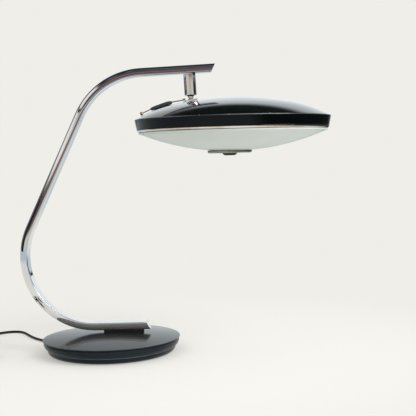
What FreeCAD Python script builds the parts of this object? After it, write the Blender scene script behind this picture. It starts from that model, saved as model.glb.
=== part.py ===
# Desk lamp with a half-round bent arm, a ball joint and a wide dish shade.
# Millimetres. The origin is the centre of the underside of the base, +Z is up,
# +X points to the shade and the arm lies in the plane y = 0.

import FreeCAD, Part
import os
from math import asin, cos, degrees, pi, radians, sin, sqrt, tan

V = FreeCAD.Vector
UP = V(0, 0, 1)

# Clearances
snug = 0.05
fit = 0.1
seat_gap = 0.3

# Base
cover_radius = 123.4
cover_edge_height = 27.3
cover_rise = 9.7
cover_sheet = 1.2
cover_lip = 1.5
weight_radius = 121.7
weight_waist = 115.6
weight_groove_depth = 2.5
weight_shoulder_height = 24.8
weight_bulge = 2.4
ring_height = 11.2
ring_radius = 115.4
ring_foot_radius = 107.5
ring_inner_radius = 82.0
ring_bulge = 2.2
ring_chamfer = 0.6
felt_thickness = 1.6
felt_radius = 98.0
felt_stand_out = 0.8
plate_radius = 90.0
plate_thickness = 2.0
plate_screw_circle = 70.0
plate_screw_diameter = 5.0
plate_screw_head = 9.2
plate_screw_length = 14.0
plate_boss_diameter = 14.0

# Arm, measured along its flat side
arm_radius = 15.5
arm_wall = 1.5
arm_edge_radius = 1.4
arm_foot_height = 55.0
arm_foot_end = 72.4
arm_foot_length = 98.3
arm_lower_bend = 118.5
arm_slant = 64.66
arm_slant_length = 221.1
arm_upper_bend = 121.2
arm_top_rise = 2.06
arm_top_length = 133.7
arm_end_slope = 27.5
end_cap_thickness = 2.0

# Fastening of the arm's foot
bolt_diameter = 8.0
bolt_pitch = 48.0
bolt_centre = 27.0
bolt_head_width = 13.0
bolt_head_height = 5.3
bolt_length = 29.0
bolt_seat_drop = 16.0
bolt_washer_diameter = 17.0
bolt_washer_thickness = 1.6
foot_nut_length = 18.0
foot_nut_height = 6.4
saddle_length = 80.0
saddle_width = 12.0
bush_bore = 7.0
bush_diameter = 10.0
bush_flange = 13.0
bush_lift = 9.0

# Cables
cord_diameter = 5.0
cord_azimuth = 147.0
cord_height = 6.8
terminal_length = 26.0
terminal_width = 18.0
terminal_height = 12.0
terminal_distance = 38.0
terminal_well_diameter = 4.4
terminal_screw_diameter = 4.2
terminal_screw_slot = 0.8
clamp_distance = 66.0
clamp_sheet = 1.8
clamp_length = 8.0
clamp_width = 26.0
clamp_screw_spacing = 19.0
relief_length = 22.0
relief_diameter = 8.8
relief_tip_diameter = 6.4

# Neck
neck_reach = 86.5
neck_diameter = 21.6
neck_bore = 17.0
neck_length = 38.6
neck_shoulder = 6.0
neck_washer_thickness = 1.0
thread_diameter = 10.0
thread_bore = 7.0
thread_pitch = 1.0
nipple_length = 23.0
anchor_height = 6.4
anchor_length = 26.0
lock_nut_width = 14.0
lock_nut_height = 5.0
groove_washer_diameter = 13.0
groove_washer_thickness = 1.5

# Ball joint
ball_radius = 8.0
ball_drop = 51.43
stud_diameter = 7.0
stud_bore = 4.0
collar_diameter = 9.7
collar_height = 3.0
liner_thickness = 1.0
liner_gap = 0.15
liner_top_angle = 62.0
liner_bottom_angle = 125.0
socket_ring_diameter = 24.0
socket_ring_top = 5.0
mouth_radius = 9.7
mouth_flare = 1.5
socket_spigot_diameter = 21.0
socket_spigot_depth = 4.0
socket_cup_diameter = 26.0
socket_cup_depth = 9.6

# Shade
shade_offset = 73.15
ball_sink = 2.35
crown_radius = 512.0
crown_width = 110.0
shoulder_radius = 230.0
shade_radius = 175.0
band_draft = 3.7
band_foot_radius = shade_radius - band_draft
band_height = 18.6
shade_sheet = 1.0
shade_edge_radius = 2.0
trim_radius = band_foot_radius - 0.5
trim_foot_radius = trim_radius - 2.3
trim_height = 3.3
trim_flange_radius = trim_radius - 10.3
trim_sheet = 1.2
trim_collar = 8.0

# Glass dish and what carries it
glass_radius = 430.0
glass_thickness = 3.0
glass_flange_radius = trim_radius - 2.6
glass_flange_width = 4.7
glass_width = glass_flange_radius - glass_flange_width
glass_flange_thickness = 3.1
glass_edge_drop = 3.8331
glass_hole_diameter = 30.0
seal_thickness = 0.5
rod_offset = -6.5
disc_radius = 39.5
disc_thickness = 3.5
disc_edge_radius = 1.0
knob_diameter = 26.0
knob_height = 4.1
knob_boss_diameter = 15.0
knob_boss_height = 16.0
knob_flutes = 24
knob_flute_depth = 0.5
glass_travel = 8.0

# Lamps inside the shade
bridge_radius = 26.0
bridge_flange = 12.0
bridge_sheet = 1.5
bridge_depth = 62.3
head_cable_drop = 44.0
head_cable_bend = 27.0
lamp_count = 3
lamp_drop = 42.3
holder_diameter = 27.0
holder_length = 28.0
holder_bore = 14.2
cap_diameter = 13.8
cap_length = 19.0
bulb_diameter = 45.0
bulb_length = 58.0

# Handle
handle_rod_diameter = 2.0
handle_rise = 6.5
handle_reach = 32.7
handle_dip = 9.1
handle_tail_dip = 6.0
handle_bend = 10.0
handle_tail = 16.6
grip_length = 40.6
grip_diameter = 8.0
grip_tip_diameter = 7.0
handle_ball_diameter = 6.4
lug_width = 5.2
lug_length = 5.0

# Switch on the cord
switch_x = -267.2
switch_y = 95.0
switch_length = 58.0
switch_width = 24.0
switch_height = 16.0
switch_split = 7.0
switch_corner = 6.0
switch_edge = 2.0
switch_wall = 2.2
rocker_length = 20.0
rocker_width = 10.0
rocker_tilt = 6.0
rocker_pin_diameter = 2.0

# Plug
plug_width = 35.3
plug_thickness = 13.7
plug_length = 30.0
plug_taper = 16.0
plug_pin_diameter = 4.0
plug_pin_length = 19.0
plug_pin_socket = 12.0
plug_pin_spacing = 18.6

# Coil of the stored cord
coil_x = -235.5
coil_y = -25.0
coil_mean_radius = 25.2
coil_loops = 2
coil_layers = 4
coil_pitch = 5.55
coil_layer_pitch = 5.45
coil_lead = 7.0

# Turn of the cord before the switch
cord_turn = 129.6
cord_turn_end = 155.0
cord_turn_points = 3
cord_turn_radius = 29.2
cord_turn_x = -219.0
cord_turn_y = 177.0
cord_way_points = [(-138.0, 99.0), (-170.5, 140.0)]


def ball_z(radius, across):
    """Height of a sphere's surface over its centre, at a distance from its axis."""
    return sqrt(radius ** 2 - across ** 2)


class Outline:
    """A closed outline in the plane y = 0, drawn in distance from the axis and height."""

    def __init__(self, x, z):
        self.first = self.at = V(x, 0, z)
        self.edges = []

    def line(self, x, z):
        end = V(x, 0, z)
        self.edges.append(Part.makeLine(self.at, end))
        self.at = end
        return self

    def swing(self, centre_x, centre_z, x, z):
        """An arc about a centre, by the short way."""
        centre, end = V(centre_x, 0, centre_z), V(x, 0, z)
        middle = (self.at - centre) + (end - centre)
        middle.Length = (self.at - centre).Length
        self.edges.append(Part.Arc(self.at, centre + middle, end).toShape())
        self.at = end
        return self

    def bulge(self, x, z, height):
        """An arc that stands out to the left of its chord by a height."""
        end = V(x, 0, z)
        chord = end - self.at
        out = V(-chord.z, 0, chord.x)
        out.Length = abs(height)
        middle = (self.at + end) * 0.5 + (out if height > 0 else -out)
        self.edges.append(Part.Arc(self.at, middle, end).toShape())
        self.at = end
        return self

    def face(self):
        if (self.at - self.first).Length > 1e-7:
            self.line(self.first.x, self.first.z)
        return Part.Face(Part.Wire(self.edges))

    def turned(self):
        return self.face().revolve(V(0, 0, 0), UP, 360)

    def wide(self, half_width):
        face = self.face()
        face.translate(V(0, -half_width, 0))
        return face.extrude(V(0, 2 * half_width, 0))


class Track:
    """A path in the plane y = 0 of straight stretches and tangent bends, from a heading in degrees."""

    def __init__(self, x, z, heading):
        self.at = V(x, 0, z)
        self.heading = heading
        self.edges = []

    def direction(self):
        return V(cos(radians(self.heading)), 0, sin(radians(self.heading)))

    def straight(self, length):
        end = self.at + self.direction() * length
        self.edges.append(Part.makeLine(self.at, end))
        self.at = end
        return self

    def bend(self, radius, turn):
        """A bend by an angle, counter-clockwise where the angle is positive."""
        side = 1 if turn > 0 else -1
        forward = self.direction()
        centre = self.at + V(-forward.z, 0, forward.x) * (side * radius)

        def rim(angle):
            a = radians(self.heading + angle - side * 90)
            return centre + V(cos(a), 0, sin(a)) * radius

        self.edges.append(Part.Arc(self.at, rim(turn / 2), rim(turn)).toShape())
        self.at = rim(turn)
        self.heading += turn
        return self


def rod(diameter, bottom, top, x=0, y=0):
    """A round rod along Z between two heights."""
    return Part.makeCylinder(diameter / 2, top - bottom, V(x, y, bottom), UP)


def bar(start, end, diameter):
    way = end - start
    return Part.makeCylinder(diameter / 2, way.Length, start, way)


def block(x0, x1, y0, y1, z0, z1):
    return Part.makeBox(x1 - x0, y1 - y0, z1 - z0, V(x0, y0, z0))


def hexagon(width, bottom, height, x=0, y=0):
    """A hexagonal prism of a width across its flats."""
    corner = width / 2 / cos(pi / 6)
    points = [V(x + corner * cos(pi / 3 * i), y + corner * sin(pi / 3 * i), bottom) for i in range(7)]
    return Part.Face(Part.makePolygon(points)).extrude(V(0, 0, height))


def placed(shape, placement):
    moved = shape.copy()
    moved.Placement = placement.multiply(moved.Placement)
    return moved


def spun(shape, angle):
    """The shape turned about the axis Z."""
    return placed(shape, FreeCAD.Placement(V(0, 0, 0), FreeCAD.Rotation(UP, angle)))


def group(shapes):
    return Part.makeCompound(shapes)


def joined(first, *others):
    return first.fuse(list(others)).removeSplitter()


def tube_along(edges, diameter, bore=0):
    """A round tube swept along a smooth path of lines and arcs."""
    wire = Part.Wire(edges)
    start = wire.Edges[0].valueAt(wire.Edges[0].FirstParameter)
    way = wire.Edges[0].tangentAt(wire.Edges[0].FirstParameter)
    ring = Part.Wire(Part.Circle(start, way, diameter / 2).toShape())
    solid = wire.makePipeShell([ring], True, False)
    if bore:
        ring = Part.Wire(Part.Circle(start, way, bore / 2).toShape())
        solid = solid.cut(wire.makePipeShell([ring], True, False))
    return solid


def rounded(points, name=None, radii=None):
    """Straight runs between points, joined by arcs as large as the runs allow."""
    points = [V(*p) for p in points]
    edges, at, found = [], points[0], []
    for i in range(1, len(points) - 1):
        before, after = points[i] - points[i - 1], points[i + 1] - points[i]
        half = before.getAngle(after) / 2
        radius = radii[i - 1] if radii else 0.45 * min(before.Length, after.Length) / tan(half)
        found.append(round(radius, 1))
        back = radius * tan(half)
        start = points[i] - before.normalize() * back
        end = points[i] + after.normalize() * back
        weight = cos(half)
        middle = (start + end + points[i] * (2 * weight)) * (1 / (2 + 2 * weight))
        edges.append(Part.makeLine(at, start))
        edges.append(Part.Arc(start, middle, end).toShape())
        at = end
    edges.append(Part.makeLine(at, points[-1]))
    if name:
        print(name, "radii", found, "length", round(sum(e.Length for e in edges), 1))
    return edges


# Places that the pieces share
dome_radius = (cover_radius ** 2 + cover_rise ** 2) / (2 * cover_rise)
cover_apex = cover_edge_height + cover_rise
weight_top_radius = dome_radius - cover_sheet - seat_gap
weight_bottom = ring_height
plate_top = felt_thickness + plate_thickness
cord_way = V(cos(radians(cord_azimuth)), sin(radians(cord_azimuth)), 0)


def along_cord(distance, height=cord_height):
    return cord_way * distance + V(0, 0, height)


def arm_track(depth, start=0.0, short=0.0):
    """The arm's line at a depth under its flat side, begun and ended short by two lengths."""
    track = Track(arm_foot_end - start, arm_foot_height - depth, 180)
    track.straight(arm_foot_length - start)
    track.bend(arm_lower_bend + depth, arm_slant - 180)
    track.straight(arm_slant_length)
    track.bend(arm_upper_bend + depth, arm_top_rise - arm_slant)
    track.straight(arm_top_length - short)
    return track


flat_end = arm_track(0)
top_way = flat_end.direction()
neck_origin = flat_end.at - top_way * (arm_top_length - neck_reach)
NECK = FreeCAD.Placement(neck_origin, FreeCAD.Rotation(V(0, 1, 0), -arm_top_rise))
ball_centre = NECK.multVec(V(0, 0, -ball_drop))
ball_slope = degrees(asin(shade_offset / crown_radius))
SOCKET = FreeCAD.Placement(ball_centre, FreeCAD.Rotation(V(0, 1, 0), -ball_slope))
shade_x = ball_centre.x + shade_offset
shade_top = ball_centre.z + ball_sink + crown_radius - ball_z(crown_radius, shade_offset)
SHADE = FreeCAD.Placement(V(shade_x, 0, shade_top), FreeCAD.Rotation())


# Base
def base_cover():
    inner = dome_radius - cover_sheet
    centre = cover_apex - dome_radius
    edge_inner = cover_radius - cover_sheet
    lip = cover_edge_height - cover_lip
    shell = Outline(0, cover_apex).swing(0, centre, cover_radius, cover_edge_height)
    shell.line(cover_radius, lip).line(edge_inner, lip)
    shell.line(edge_inner, centre + ball_z(inner, edge_inner)).swing(0, centre, 0, cover_apex - cover_sheet)
    holes = [rod(bolt_diameter + 1, 0, cover_apex + 1, x) for x in bolt_places()]
    return shell.turned().cut(holes + [bush_hole()])


def bolt_places():
    return [bolt_centre - bolt_pitch / 2, bolt_centre + bolt_pitch / 2]


def bush_hole():
    return rod(bush_diameter + 2 * fit, 0, cover_apex + 2 * arm_wall + 4, bolt_centre)


def plate_screw_places():
    turns = [radians(a) for a in (90, 210, 330)]
    return [V(plate_screw_circle * cos(a), plate_screw_circle * sin(a), 0) for a in turns]


def bolt_seat():
    return cover_apex - bolt_seat_drop


def base_weight():
    centre = cover_apex - dome_radius
    neck = weight_radius - weight_groove_depth
    side = Outline(0, centre + weight_top_radius)
    side.swing(0, centre, neck, centre + ball_z(weight_top_radius, neck))
    side.line(neck, weight_shoulder_height).line(weight_radius, weight_shoulder_height)
    side.bulge(weight_waist, weight_bottom, weight_bulge)
    side.line(0, weight_bottom)
    bosses = [rod(plate_boss_diameter, plate_top, weight_bottom + 1, p.x, p.y) for p in plate_screw_places()]
    body = joined(side.turned(), *bosses)
    cuts = []
    for x in bolt_places():
        cuts.append(rod(bolt_washer_diameter + 4, 0, bolt_seat(), x))
        cuts.append(rod(bolt_diameter + 1, 0, cover_apex, x))
    flange_seat = bolt_seat() + 9
    cuts.append(rod(bush_flange + 1, 0, flange_seat, bolt_centre))
    cuts.append(bush_hole())
    for p in plate_screw_places():
        cuts.append(rod(plate_screw_diameter + snug, 0, felt_thickness + plate_screw_length + 1, p.x, p.y))
    half_length, half_width = terminal_length / 2 + 3, terminal_width / 2 + 3
    pocket = block(-half_length, half_length, -half_width, half_width, 0, plate_top + terminal_height + 2)
    cuts.append(placed(pocket, at_terminal()))
    return body.cut(cuts)


def foot_ring():
    underside = felt_stand_out
    ring = Outline(ring_inner_radius, ring_height)
    ring.line(ring_radius - ring_chamfer, ring_height).line(ring_radius, ring_height - ring_chamfer)
    ring.bulge(ring_foot_radius, underside, ring_bulge)
    ring.line(felt_radius + seat_gap, underside).line(felt_radius + seat_gap, felt_thickness)
    ring.line(plate_radius + seat_gap, felt_thickness).line(plate_radius + seat_gap, plate_top)
    ring.line(ring_inner_radius, plate_top)
    hole = bar(along_cord(relief_seat() - fit), along_cord(ring_radius + 5), relief_diameter - 1.2 + 2 * fit)
    passage = bar(along_cord(ring_inner_radius - 5), along_cord(ring_radius), cord_diameter + 2 * fit)
    return ring.turned().cut([hole, passage])


def relief_seat():
    return plate_radius + 4.0


def bottom_plate():
    plate = rod(2 * plate_radius, felt_thickness, plate_top)
    for p in plate_screw_places():
        sink = Part.makeCone(plate_screw_head / 2 + fit, plate_screw_diameter / 2 + fit, plate_thickness,
                             V(p.x, p.y, felt_thickness), UP)
        plate = plate.cut(sink)
    return plate


def felt_pad():
    return rod(2 * felt_radius, 0, felt_thickness)


def bottom_screws():
    screws = []
    for p in plate_screw_places():
        bottom = felt_thickness + snug
        place = V(p.x, p.y, bottom)
        head = Part.makeCone(plate_screw_head / 2, plate_screw_diameter / 2, plate_thickness, place, UP)
        tip = felt_thickness + plate_screw_length
        shank = rod(plate_screw_diameter, bottom + plate_thickness, tip, p.x, p.y)
        slot = block(p.x - plate_screw_head, p.x + plate_screw_head, p.y - 0.6, p.y + 0.6, 0, bottom + 1)
        screws.append(joined(head, shank).cut(slot))
    return group(screws)


def arm_bolts():
    bolts = []
    head_top = bolt_seat() - bolt_washer_thickness
    for x in bolt_places():
        head = hexagon(bolt_head_width, head_top - bolt_head_height, bolt_head_height, x)
        bolts.append(joined(head, rod(bolt_diameter, head_top, head_top + bolt_length, x)))
    return group(bolts)


def bolt_washers():
    washers = []
    for x in bolt_places():
        washer = rod(bolt_washer_diameter, bolt_seat() - bolt_washer_thickness, bolt_seat(), x)
        washers.append(washer.cut(rod(bolt_diameter + 2 * fit, 0, cover_apex, x)))
    return group(washers)


def foot_saddle():
    centre = cover_apex - dome_radius
    crest = arm_foot_height - arm_radius
    saddle = block(bolt_centre - saddle_length / 2, bolt_centre + saddle_length / 2 - 8,
                   -saddle_width / 2, saddle_width / 2, cover_apex - 5, crest + arm_radius / 2)
    belly_start = V(bolt_centre - saddle_length, 0, arm_foot_height)
    belly = Part.makeCylinder(arm_radius + fit, 2 * saddle_length, belly_start, V(1, 0, 0))
    lower_bend = arm_solid(0, -fit)
    dome = Part.makeSphere(dome_radius + fit, V(0, 0, centre))
    holes = [rod(bolt_diameter + 1, 0, arm_foot_height, x) for x in bolt_places()]
    pieces = saddle.cut([belly, lower_bend, dome, bush_hole()] + holes).Solids
    return max(pieces, key=lambda s: s.Volume)


# Arm
def arm_section(inset, start):
    """The half-round section at the arm's foot, drawn in by an inset from every side."""
    outer = arm_radius - inset
    corner = max(arm_edge_radius - inset, 0.3)
    top = arm_foot_height - inset
    side = sqrt((outer - corner) ** 2 - (inset + corner) ** 2)
    scale = outer / (outer - corner)
    x = arm_foot_end - start

    def at(y, depth):
        return V(x, y, arm_foot_height - depth)

    edges = []
    edges.append(Part.makeLine(V(x, -side, top), V(x, side, top)))
    for sign in (1, -1):
        centre = at(sign * side, inset + corner)
        first = V(x, sign * side, top)
        last = at(sign * side * scale, (inset + corner) * scale)
        middle = (first - centre) + (last - centre)
        middle.Length = corner
        edges.append(Part.Arc(first, centre + middle, last).toShape())
    left = at(-side * scale, (inset + corner) * scale)
    right = at(side * scale, (inset + corner) * scale)
    edges.append(Part.Arc(right, at(0, outer), left).toShape())
    return Part.Wire(Part.__sortEdges__(edges))


def arm_solid(inset, grow=0.0):
    """The arm's solid form from end to end, drawn in by an inset."""
    return Part.Wire(arm_track(0).edges).makePipeShell([arm_section(inset + grow, 0)], True, False)


def end_plane(at_foot, back=0.0):
    """All that lies beyond the arm's slanted end, moved back into the arm by a length."""
    far = 60
    if at_foot:
        track, out, down = V(arm_foot_end, 0, arm_foot_height), V(1, 0, 0), V(0, 0, -1)
    else:
        track, out, down = flat_end.at, top_way, V(-top_way.z, 0, top_way.x)
    slope = radians(arm_end_slope)
    crest = track + down * arm_radius
    edge_way = (down * cos(slope) + out * sin(slope))
    normal = (out * cos(slope) - down * sin(slope))
    corner = crest - normal * back - edge_way * far
    along, out = edge_way * 2 * far, normal * far
    points = [corner, corner + along, corner + along + out, corner + out, corner]
    face = Part.Face(Part.makePolygon(points))
    face.translate(V(0, -far, 0))
    return face.extrude(V(0, 2 * far, 0))


def arm_tube():
    tube = arm_solid(0).cut(arm_solid(arm_wall))
    holes = [rod(bolt_diameter + 2 * fit, 0, arm_foot_height - arm_radius / 2, x) for x in bolt_places()]
    neck_hole = placed(rod(thread_diameter + 2 * fit, -2, arm_radius / 2), NECK)
    return tube.cut(holes + [bush_hole(), neck_hole, end_plane(True), end_plane(False)])


def end_cap(at_foot):
    inside = arm_solid(arm_wall, fit)
    return inside.cut(end_plane(at_foot)).common(end_plane(at_foot, end_cap_thickness))


def foot_nuts():
    crest = arm_foot_height - arm_radius + arm_wall
    inside = arm_solid(arm_wall, fit)
    nuts = []
    for x in bolt_places():
        half = foot_nut_length / 2
        room = block(x - half, x + half, -arm_radius, arm_radius, 0, crest + foot_nut_height)
        nuts.append(inside.common(room).cut(rod(bolt_diameter + 2 * snug, 0, arm_foot_height, x)))
    return group(nuts)


def neck_anchor():
    room = block(-anchor_length / 2, anchor_length / 2, -arm_radius, arm_radius, 0, arm_wall + anchor_height)
    anchor = arm_solid(arm_wall, fit).common(placed(room, NECK))
    return anchor.cut(placed(rod(thread_diameter + 2 * snug, -2, arm_radius), NECK))


def cable_bush():
    seat = bolt_seat() + bush_lift
    top = arm_foot_height - arm_radius + arm_wall + 1
    flange = rod(bush_flange, seat - 2, seat, bolt_centre)
    bush = joined(flange, rod(bush_diameter, seat - 2, top, bolt_centre))
    return bush.cut(rod(bush_bore, 0, arm_foot_height, bolt_centre))


def arm_cable():
    depth = arm_wall + seat_gap + cord_diameter / 2
    low = cord_height + 1.0
    turn_x, line_z = bolt_centre - 22, arm_foot_height - depth
    points = [cord_way * (terminal_distance - terminal_length / 2) + V(0, 0, low),
              V(bolt_centre, 0, low), V(bolt_centre, 0, line_z), V(turn_x, 0, line_z)]
    start = rounded(points, radii=[10, 14])
    rest = arm_track(depth, arm_foot_end - turn_x, arm_top_length - neck_reach + anchor_length)
    return tube_along(start + rest.edges, cord_diameter)


def at_terminal():
    return FreeCAD.Placement(cord_way * terminal_distance, FreeCAD.Rotation(UP, cord_azimuth))


def terminal_block():
    body = block(-terminal_length / 2, terminal_length / 2, -terminal_width / 2, terminal_width / 2,
                 plate_top, plate_top + terminal_height)
    foot, top = plate_top + terminal_height / 2, plate_top + terminal_height + 1
    wells = [rod(terminal_well_diameter, foot, top, x, y) for x, y in terminal_screw_places()]
    return placed(body.cut(wells), at_terminal())


def terminal_screw_places():
    x, y = terminal_length / 4, terminal_width / 4
    return [(-x, -y), (-x, y), (x, -y), (x, y)]


def terminal_screws():
    top = plate_top + terminal_height - 1
    screws, half = [], terminal_screw_slot / 2
    for x, y in terminal_screw_places():
        screw = rod(terminal_screw_diameter, plate_top + terminal_height / 2, top, x, y)
        slot = block(x - 3, x + 3, y - half, y + half, top - terminal_screw_slot, top + 1)
        screws.append(screw.cut(slot))
    return placed(group(screws), at_terminal())


def cord_clamp():
    end, side = clamp_length / 2, clamp_width / 2
    strap = block(-end, end, -side, side, plate_top, plate_top + clamp_sheet)
    hump = bar(V(-end, 0, cord_height), V(end, 0, cord_height), cord_diameter + 2 * clamp_sheet)
    hump = hump.common(block(-end, end, -side, side, plate_top, weight_bottom))
    channel = bar(V(-end - 1, 0, cord_height), V(end + 1, 0, cord_height), cord_diameter + 2 * snug)
    half = cord_diameter / 2 + snug
    under = block(-end - 1, end + 1, -half, half, plate_top - 1, cord_height)
    screws = [rod(3.1, 0, weight_bottom, 0, y) for y in clamp_screw_places()]
    place = FreeCAD.Placement(cord_way * clamp_distance, FreeCAD.Rotation(UP, cord_azimuth))
    return placed(joined(strap, hump).cut([channel, under] + screws), place)


def clamp_screws():
    place = FreeCAD.Placement(cord_way * clamp_distance, FreeCAD.Rotation(UP, cord_azimuth))
    screws = []
    for y in clamp_screw_places():
        shank = rod(3.0, plate_top, plate_top + 2.2, 0, y)
        screws.append(joined(shank, rod(5.4, plate_top + 2, plate_top + 3.8, 0, y)))
    return placed(group(screws), place)


def clamp_screw_places():
    return -clamp_screw_spacing / 2, clamp_screw_spacing / 2


def strain_relief():
    """A tapered sleeve with grooves, drawn along +Z and laid on the cord's line."""
    inside, outside = relief_seat(), ring_radius + 0.2
    stem = relief_diameter / 2 - 0.6
    sleeve = Outline(cord_diameter / 2 + snug, inside).line(stem, inside).line(stem, outside)
    sleeve.line(relief_diameter / 2, outside).line(relief_diameter / 2, outside + 2)
    for i in range(4):
        near, far = outside + 2 + relief_length * i / 5, outside + 2 + relief_length * (i + 0.6) / 5
        wide = relief_diameter / 2 - (relief_diameter - relief_tip_diameter) / 2 * i / 4
        sleeve.line(wide - 0.8, near).line(wide - 0.8, near + 1.6)
        sleeve.line(wide - 0.2, near + 1.6).line(wide - 0.4, far)
    sleeve.line(relief_tip_diameter / 2 - 0.3, outside + 2 + relief_length)
    sleeve.line(cord_diameter / 2 + snug, outside + 2 + relief_length)
    place = FreeCAD.Placement(V(0, 0, cord_height), FreeCAD.Rotation(UP, cord_way))
    return placed(sleeve.turned(), place)


def inner_lead():
    start = along_cord(terminal_distance + terminal_length / 2 + fit)
    return bar(start, along_cord(cord_start_distance()), cord_diameter)


def cord_start_distance():
    return ring_radius - 4


# Neck
def ring_between(bore, diameter, bottom, top):
    return rod(diameter, bottom, top).cut(rod(bore, bottom - 1, top + 1))


def neck_top():
    return -neck_washer_thickness - snug


def neck_washer():
    washer = ring_between(thread_diameter + 2 * fit, neck_diameter - 0.6, -neck_washer_thickness, 0)
    return placed(washer, NECK)


def neck_sleeve():
    top, foot = neck_top(), -neck_length
    sleeve = rod(neck_diameter, foot, top)
    sleeve = sleeve.makeFillet(0.5, [e for e in sleeve.Edges if e.Curve.TypeId == "Part::GeomCircle"])
    thread_hole = rod(thread_diameter + 2 * fit, foot - 1, top + 1)
    sleeve = sleeve.cut([thread_hole, rod(neck_bore, foot - 1, top - neck_shoulder)])
    return placed(sleeve, NECK)


def lock_height():
    return neck_top() - neck_shoulder - snug


def neck_nipple():
    top = arm_wall + anchor_height
    return placed(ring_between(thread_bore, thread_diameter, top - nipple_length, top), NECK)


def neck_spring_washer():
    washer = ring_between(thread_diameter + 2 * fit, neck_bore - 1, lock_height() - 2, lock_height())
    return placed(washer, NECK)


def neck_lock_nut():
    top = lock_height() - 2
    nut = hexagon(lock_nut_width, top - lock_nut_height, lock_nut_height)
    return placed(nut.cut(rod(thread_diameter + 2 * snug, top - 20, top + 1)), NECK)


def neck_plug():
    plug = ring_between(ball_stud_shank() + 2 * snug, neck_bore - 2 * snug, -neck_length, -neck_length + 11)
    return placed(plug, NECK)


def ball_stud_shank():
    return stud_diameter + 1


def groove_washer():
    washer = ring_between(ball_stud_shank() + 2 * snug, groove_washer_diameter,
                          -neck_length - groove_washer_thickness, -neck_length)
    return placed(washer, NECK)


def stud_nut():
    bottom = -neck_length + 11
    nut = hexagon(lock_nut_width - 1, bottom, 3.0)
    return placed(nut.cut(rod(ball_stud_shank() + 2 * snug, bottom - 1, bottom + 9)), NECK)


def ball_stud():
    seat = -neck_length - groove_washer_thickness
    ball = Part.makeSphere(ball_radius, V(0, 0, -ball_drop))
    collar = rod(collar_diameter, seat - collar_height, seat)
    stud = joined(ball, rod(stud_diameter, -ball_drop, seat), collar,
                  rod(ball_stud_shank(), seat, -neck_length + 14.5))
    return placed(stud.cut(rod(stud_bore, -ball_drop - 20, 0)), NECK)


def ball_liner():
    inner, outer = ball_radius + liner_gap, ball_radius + liner_gap + liner_thickness
    a, b = radians(liner_top_angle), radians(liner_bottom_angle)
    liner = Outline(inner * sin(a), inner * cos(a)).line(outer * sin(a), outer * cos(a))
    liner.swing(0, 0, outer * sin(b), outer * cos(b)).line(inner * sin(b), inner * cos(b))
    liner.swing(0, 0, inner * sin(a), inner * cos(a))
    return placed(liner.turned(), SOCKET)


def socket_ball():
    return Part.makeSphere(ball_radius + liner_thickness + 2 * liner_gap)


def dome_over_socket(radius_change, across):
    """Height of the crown's surface over the ball's centre, square to the crown."""
    drop = crown_radius + radius_change - ball_z(crown_radius + radius_change, across)
    return ball_sink * cos(radians(ball_slope)) + radius_change - drop


def socket_ring():
    foot = dome_over_socket(0, 0) + snug
    spigot = rod(socket_spigot_diameter, -socket_spigot_depth, foot)
    ring = joined(rod(socket_ring_diameter, foot, socket_ring_top), spigot)
    lug_start = lug_end() - lug_length
    lug = joined(block(lug_start, lug_end(), -lug_width / 2, lug_width / 2, foot, handle_rise),
                 bar(V(lug_start, 0, handle_rise), V(lug_end(), 0, handle_rise), lug_width))
    lug = lug.cut(rod(2 * lug_width + 40, -20, foot))
    hole_end = V(handle_start() + snug, 0, handle_rise)
    hole = bar(V(lug_start - 1, 0, handle_rise), hole_end, handle_rod_diameter + 2 * snug)
    mouth = Part.makeCone(mouth_radius - mouth_flare, mouth_radius, mouth_flare * 0.6,
                          V(0, 0, socket_ring_top - mouth_flare * 0.6), UP)
    return placed(joined(ring, lug).cut([socket_ball(), hole, mouth]), SOCKET)


def lug_end():
    return -socket_ring_diameter / 2 - 2 + lug_length


def handle_start():
    return lug_end() - 1


def socket_cup():
    rim = dome_over_socket(-shade_sheet, socket_cup_diameter / 2) - snug
    cup = rod(socket_cup_diameter, -socket_cup_depth, rim)
    flat = socket_cup_diameter / 2 - 1
    cup = cup.common(block(-flat, flat, -socket_cup_diameter, socket_cup_diameter, -socket_cup_depth, rim))
    thread = rod(socket_spigot_diameter + 2 * snug, -socket_spigot_depth - fit, rim + 1)
    return placed(cup.cut([thread, socket_ball(), rod(8, -socket_cup_depth - 1, 0)]), SOCKET)


# Shade, drawn down from the top of its crown
def shade_wall(inset):
    """The outer outline of the shade drawn in by an inset, down to the foot of the band."""
    crown = crown_radius - inset
    turn = crown_width / crown_radius
    shoulder_x = crown_width - shoulder_radius * turn
    shoulder_z = -crown_radius + (crown_radius - shoulder_radius) * sqrt(1 - turn ** 2)
    shoulder = shoulder_radius - inset
    rim = shade_radius - inset
    wall = Outline(0, -inset)
    wall.swing(0, -crown_radius, crown * turn, -crown_radius + crown * sqrt(1 - turn ** 2))
    wall.swing(shoulder_x, shoulder_z, rim, shoulder_z + ball_z(shoulder, rim - shoulder_x))
    return wall


def band_foot():
    return shade_wall(0).at.z - band_height


def shade_dome():
    foot = band_foot()
    outer = shade_wall(0).line(band_foot_radius, foot).line(0, foot).turned()
    inner = shade_wall(shade_sheet).line(band_foot_radius - shade_sheet, foot - 1).line(0, foot - 1).turned()
    rim_z = shade_wall(0).at.z

    def rim_edges(solid, level):
        boxes = [(e, e.BoundBox) for e in solid.Edges]
        return [e for e, box in boxes if abs(box.ZMax - level) < 0.01 and abs(box.ZMin - level) < 0.01]

    outer = outer.makeFillet(shade_edge_radius, rim_edges(outer, rim_z))
    inner = inner.makeFillet(shade_edge_radius - shade_sheet, rim_edges(inner, shade_wall(shade_sheet).at.z))
    hole = rod(socket_spigot_diameter + 2 * fit, -socket_ring_diameter, socket_ring_diameter)
    return placed(outer.cut(inner), SHADE).cut(placed(hole, SOCKET))


def trim_top():
    return band_foot() - fit


def trim_foot():
    return trim_top() - trim_height


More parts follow.
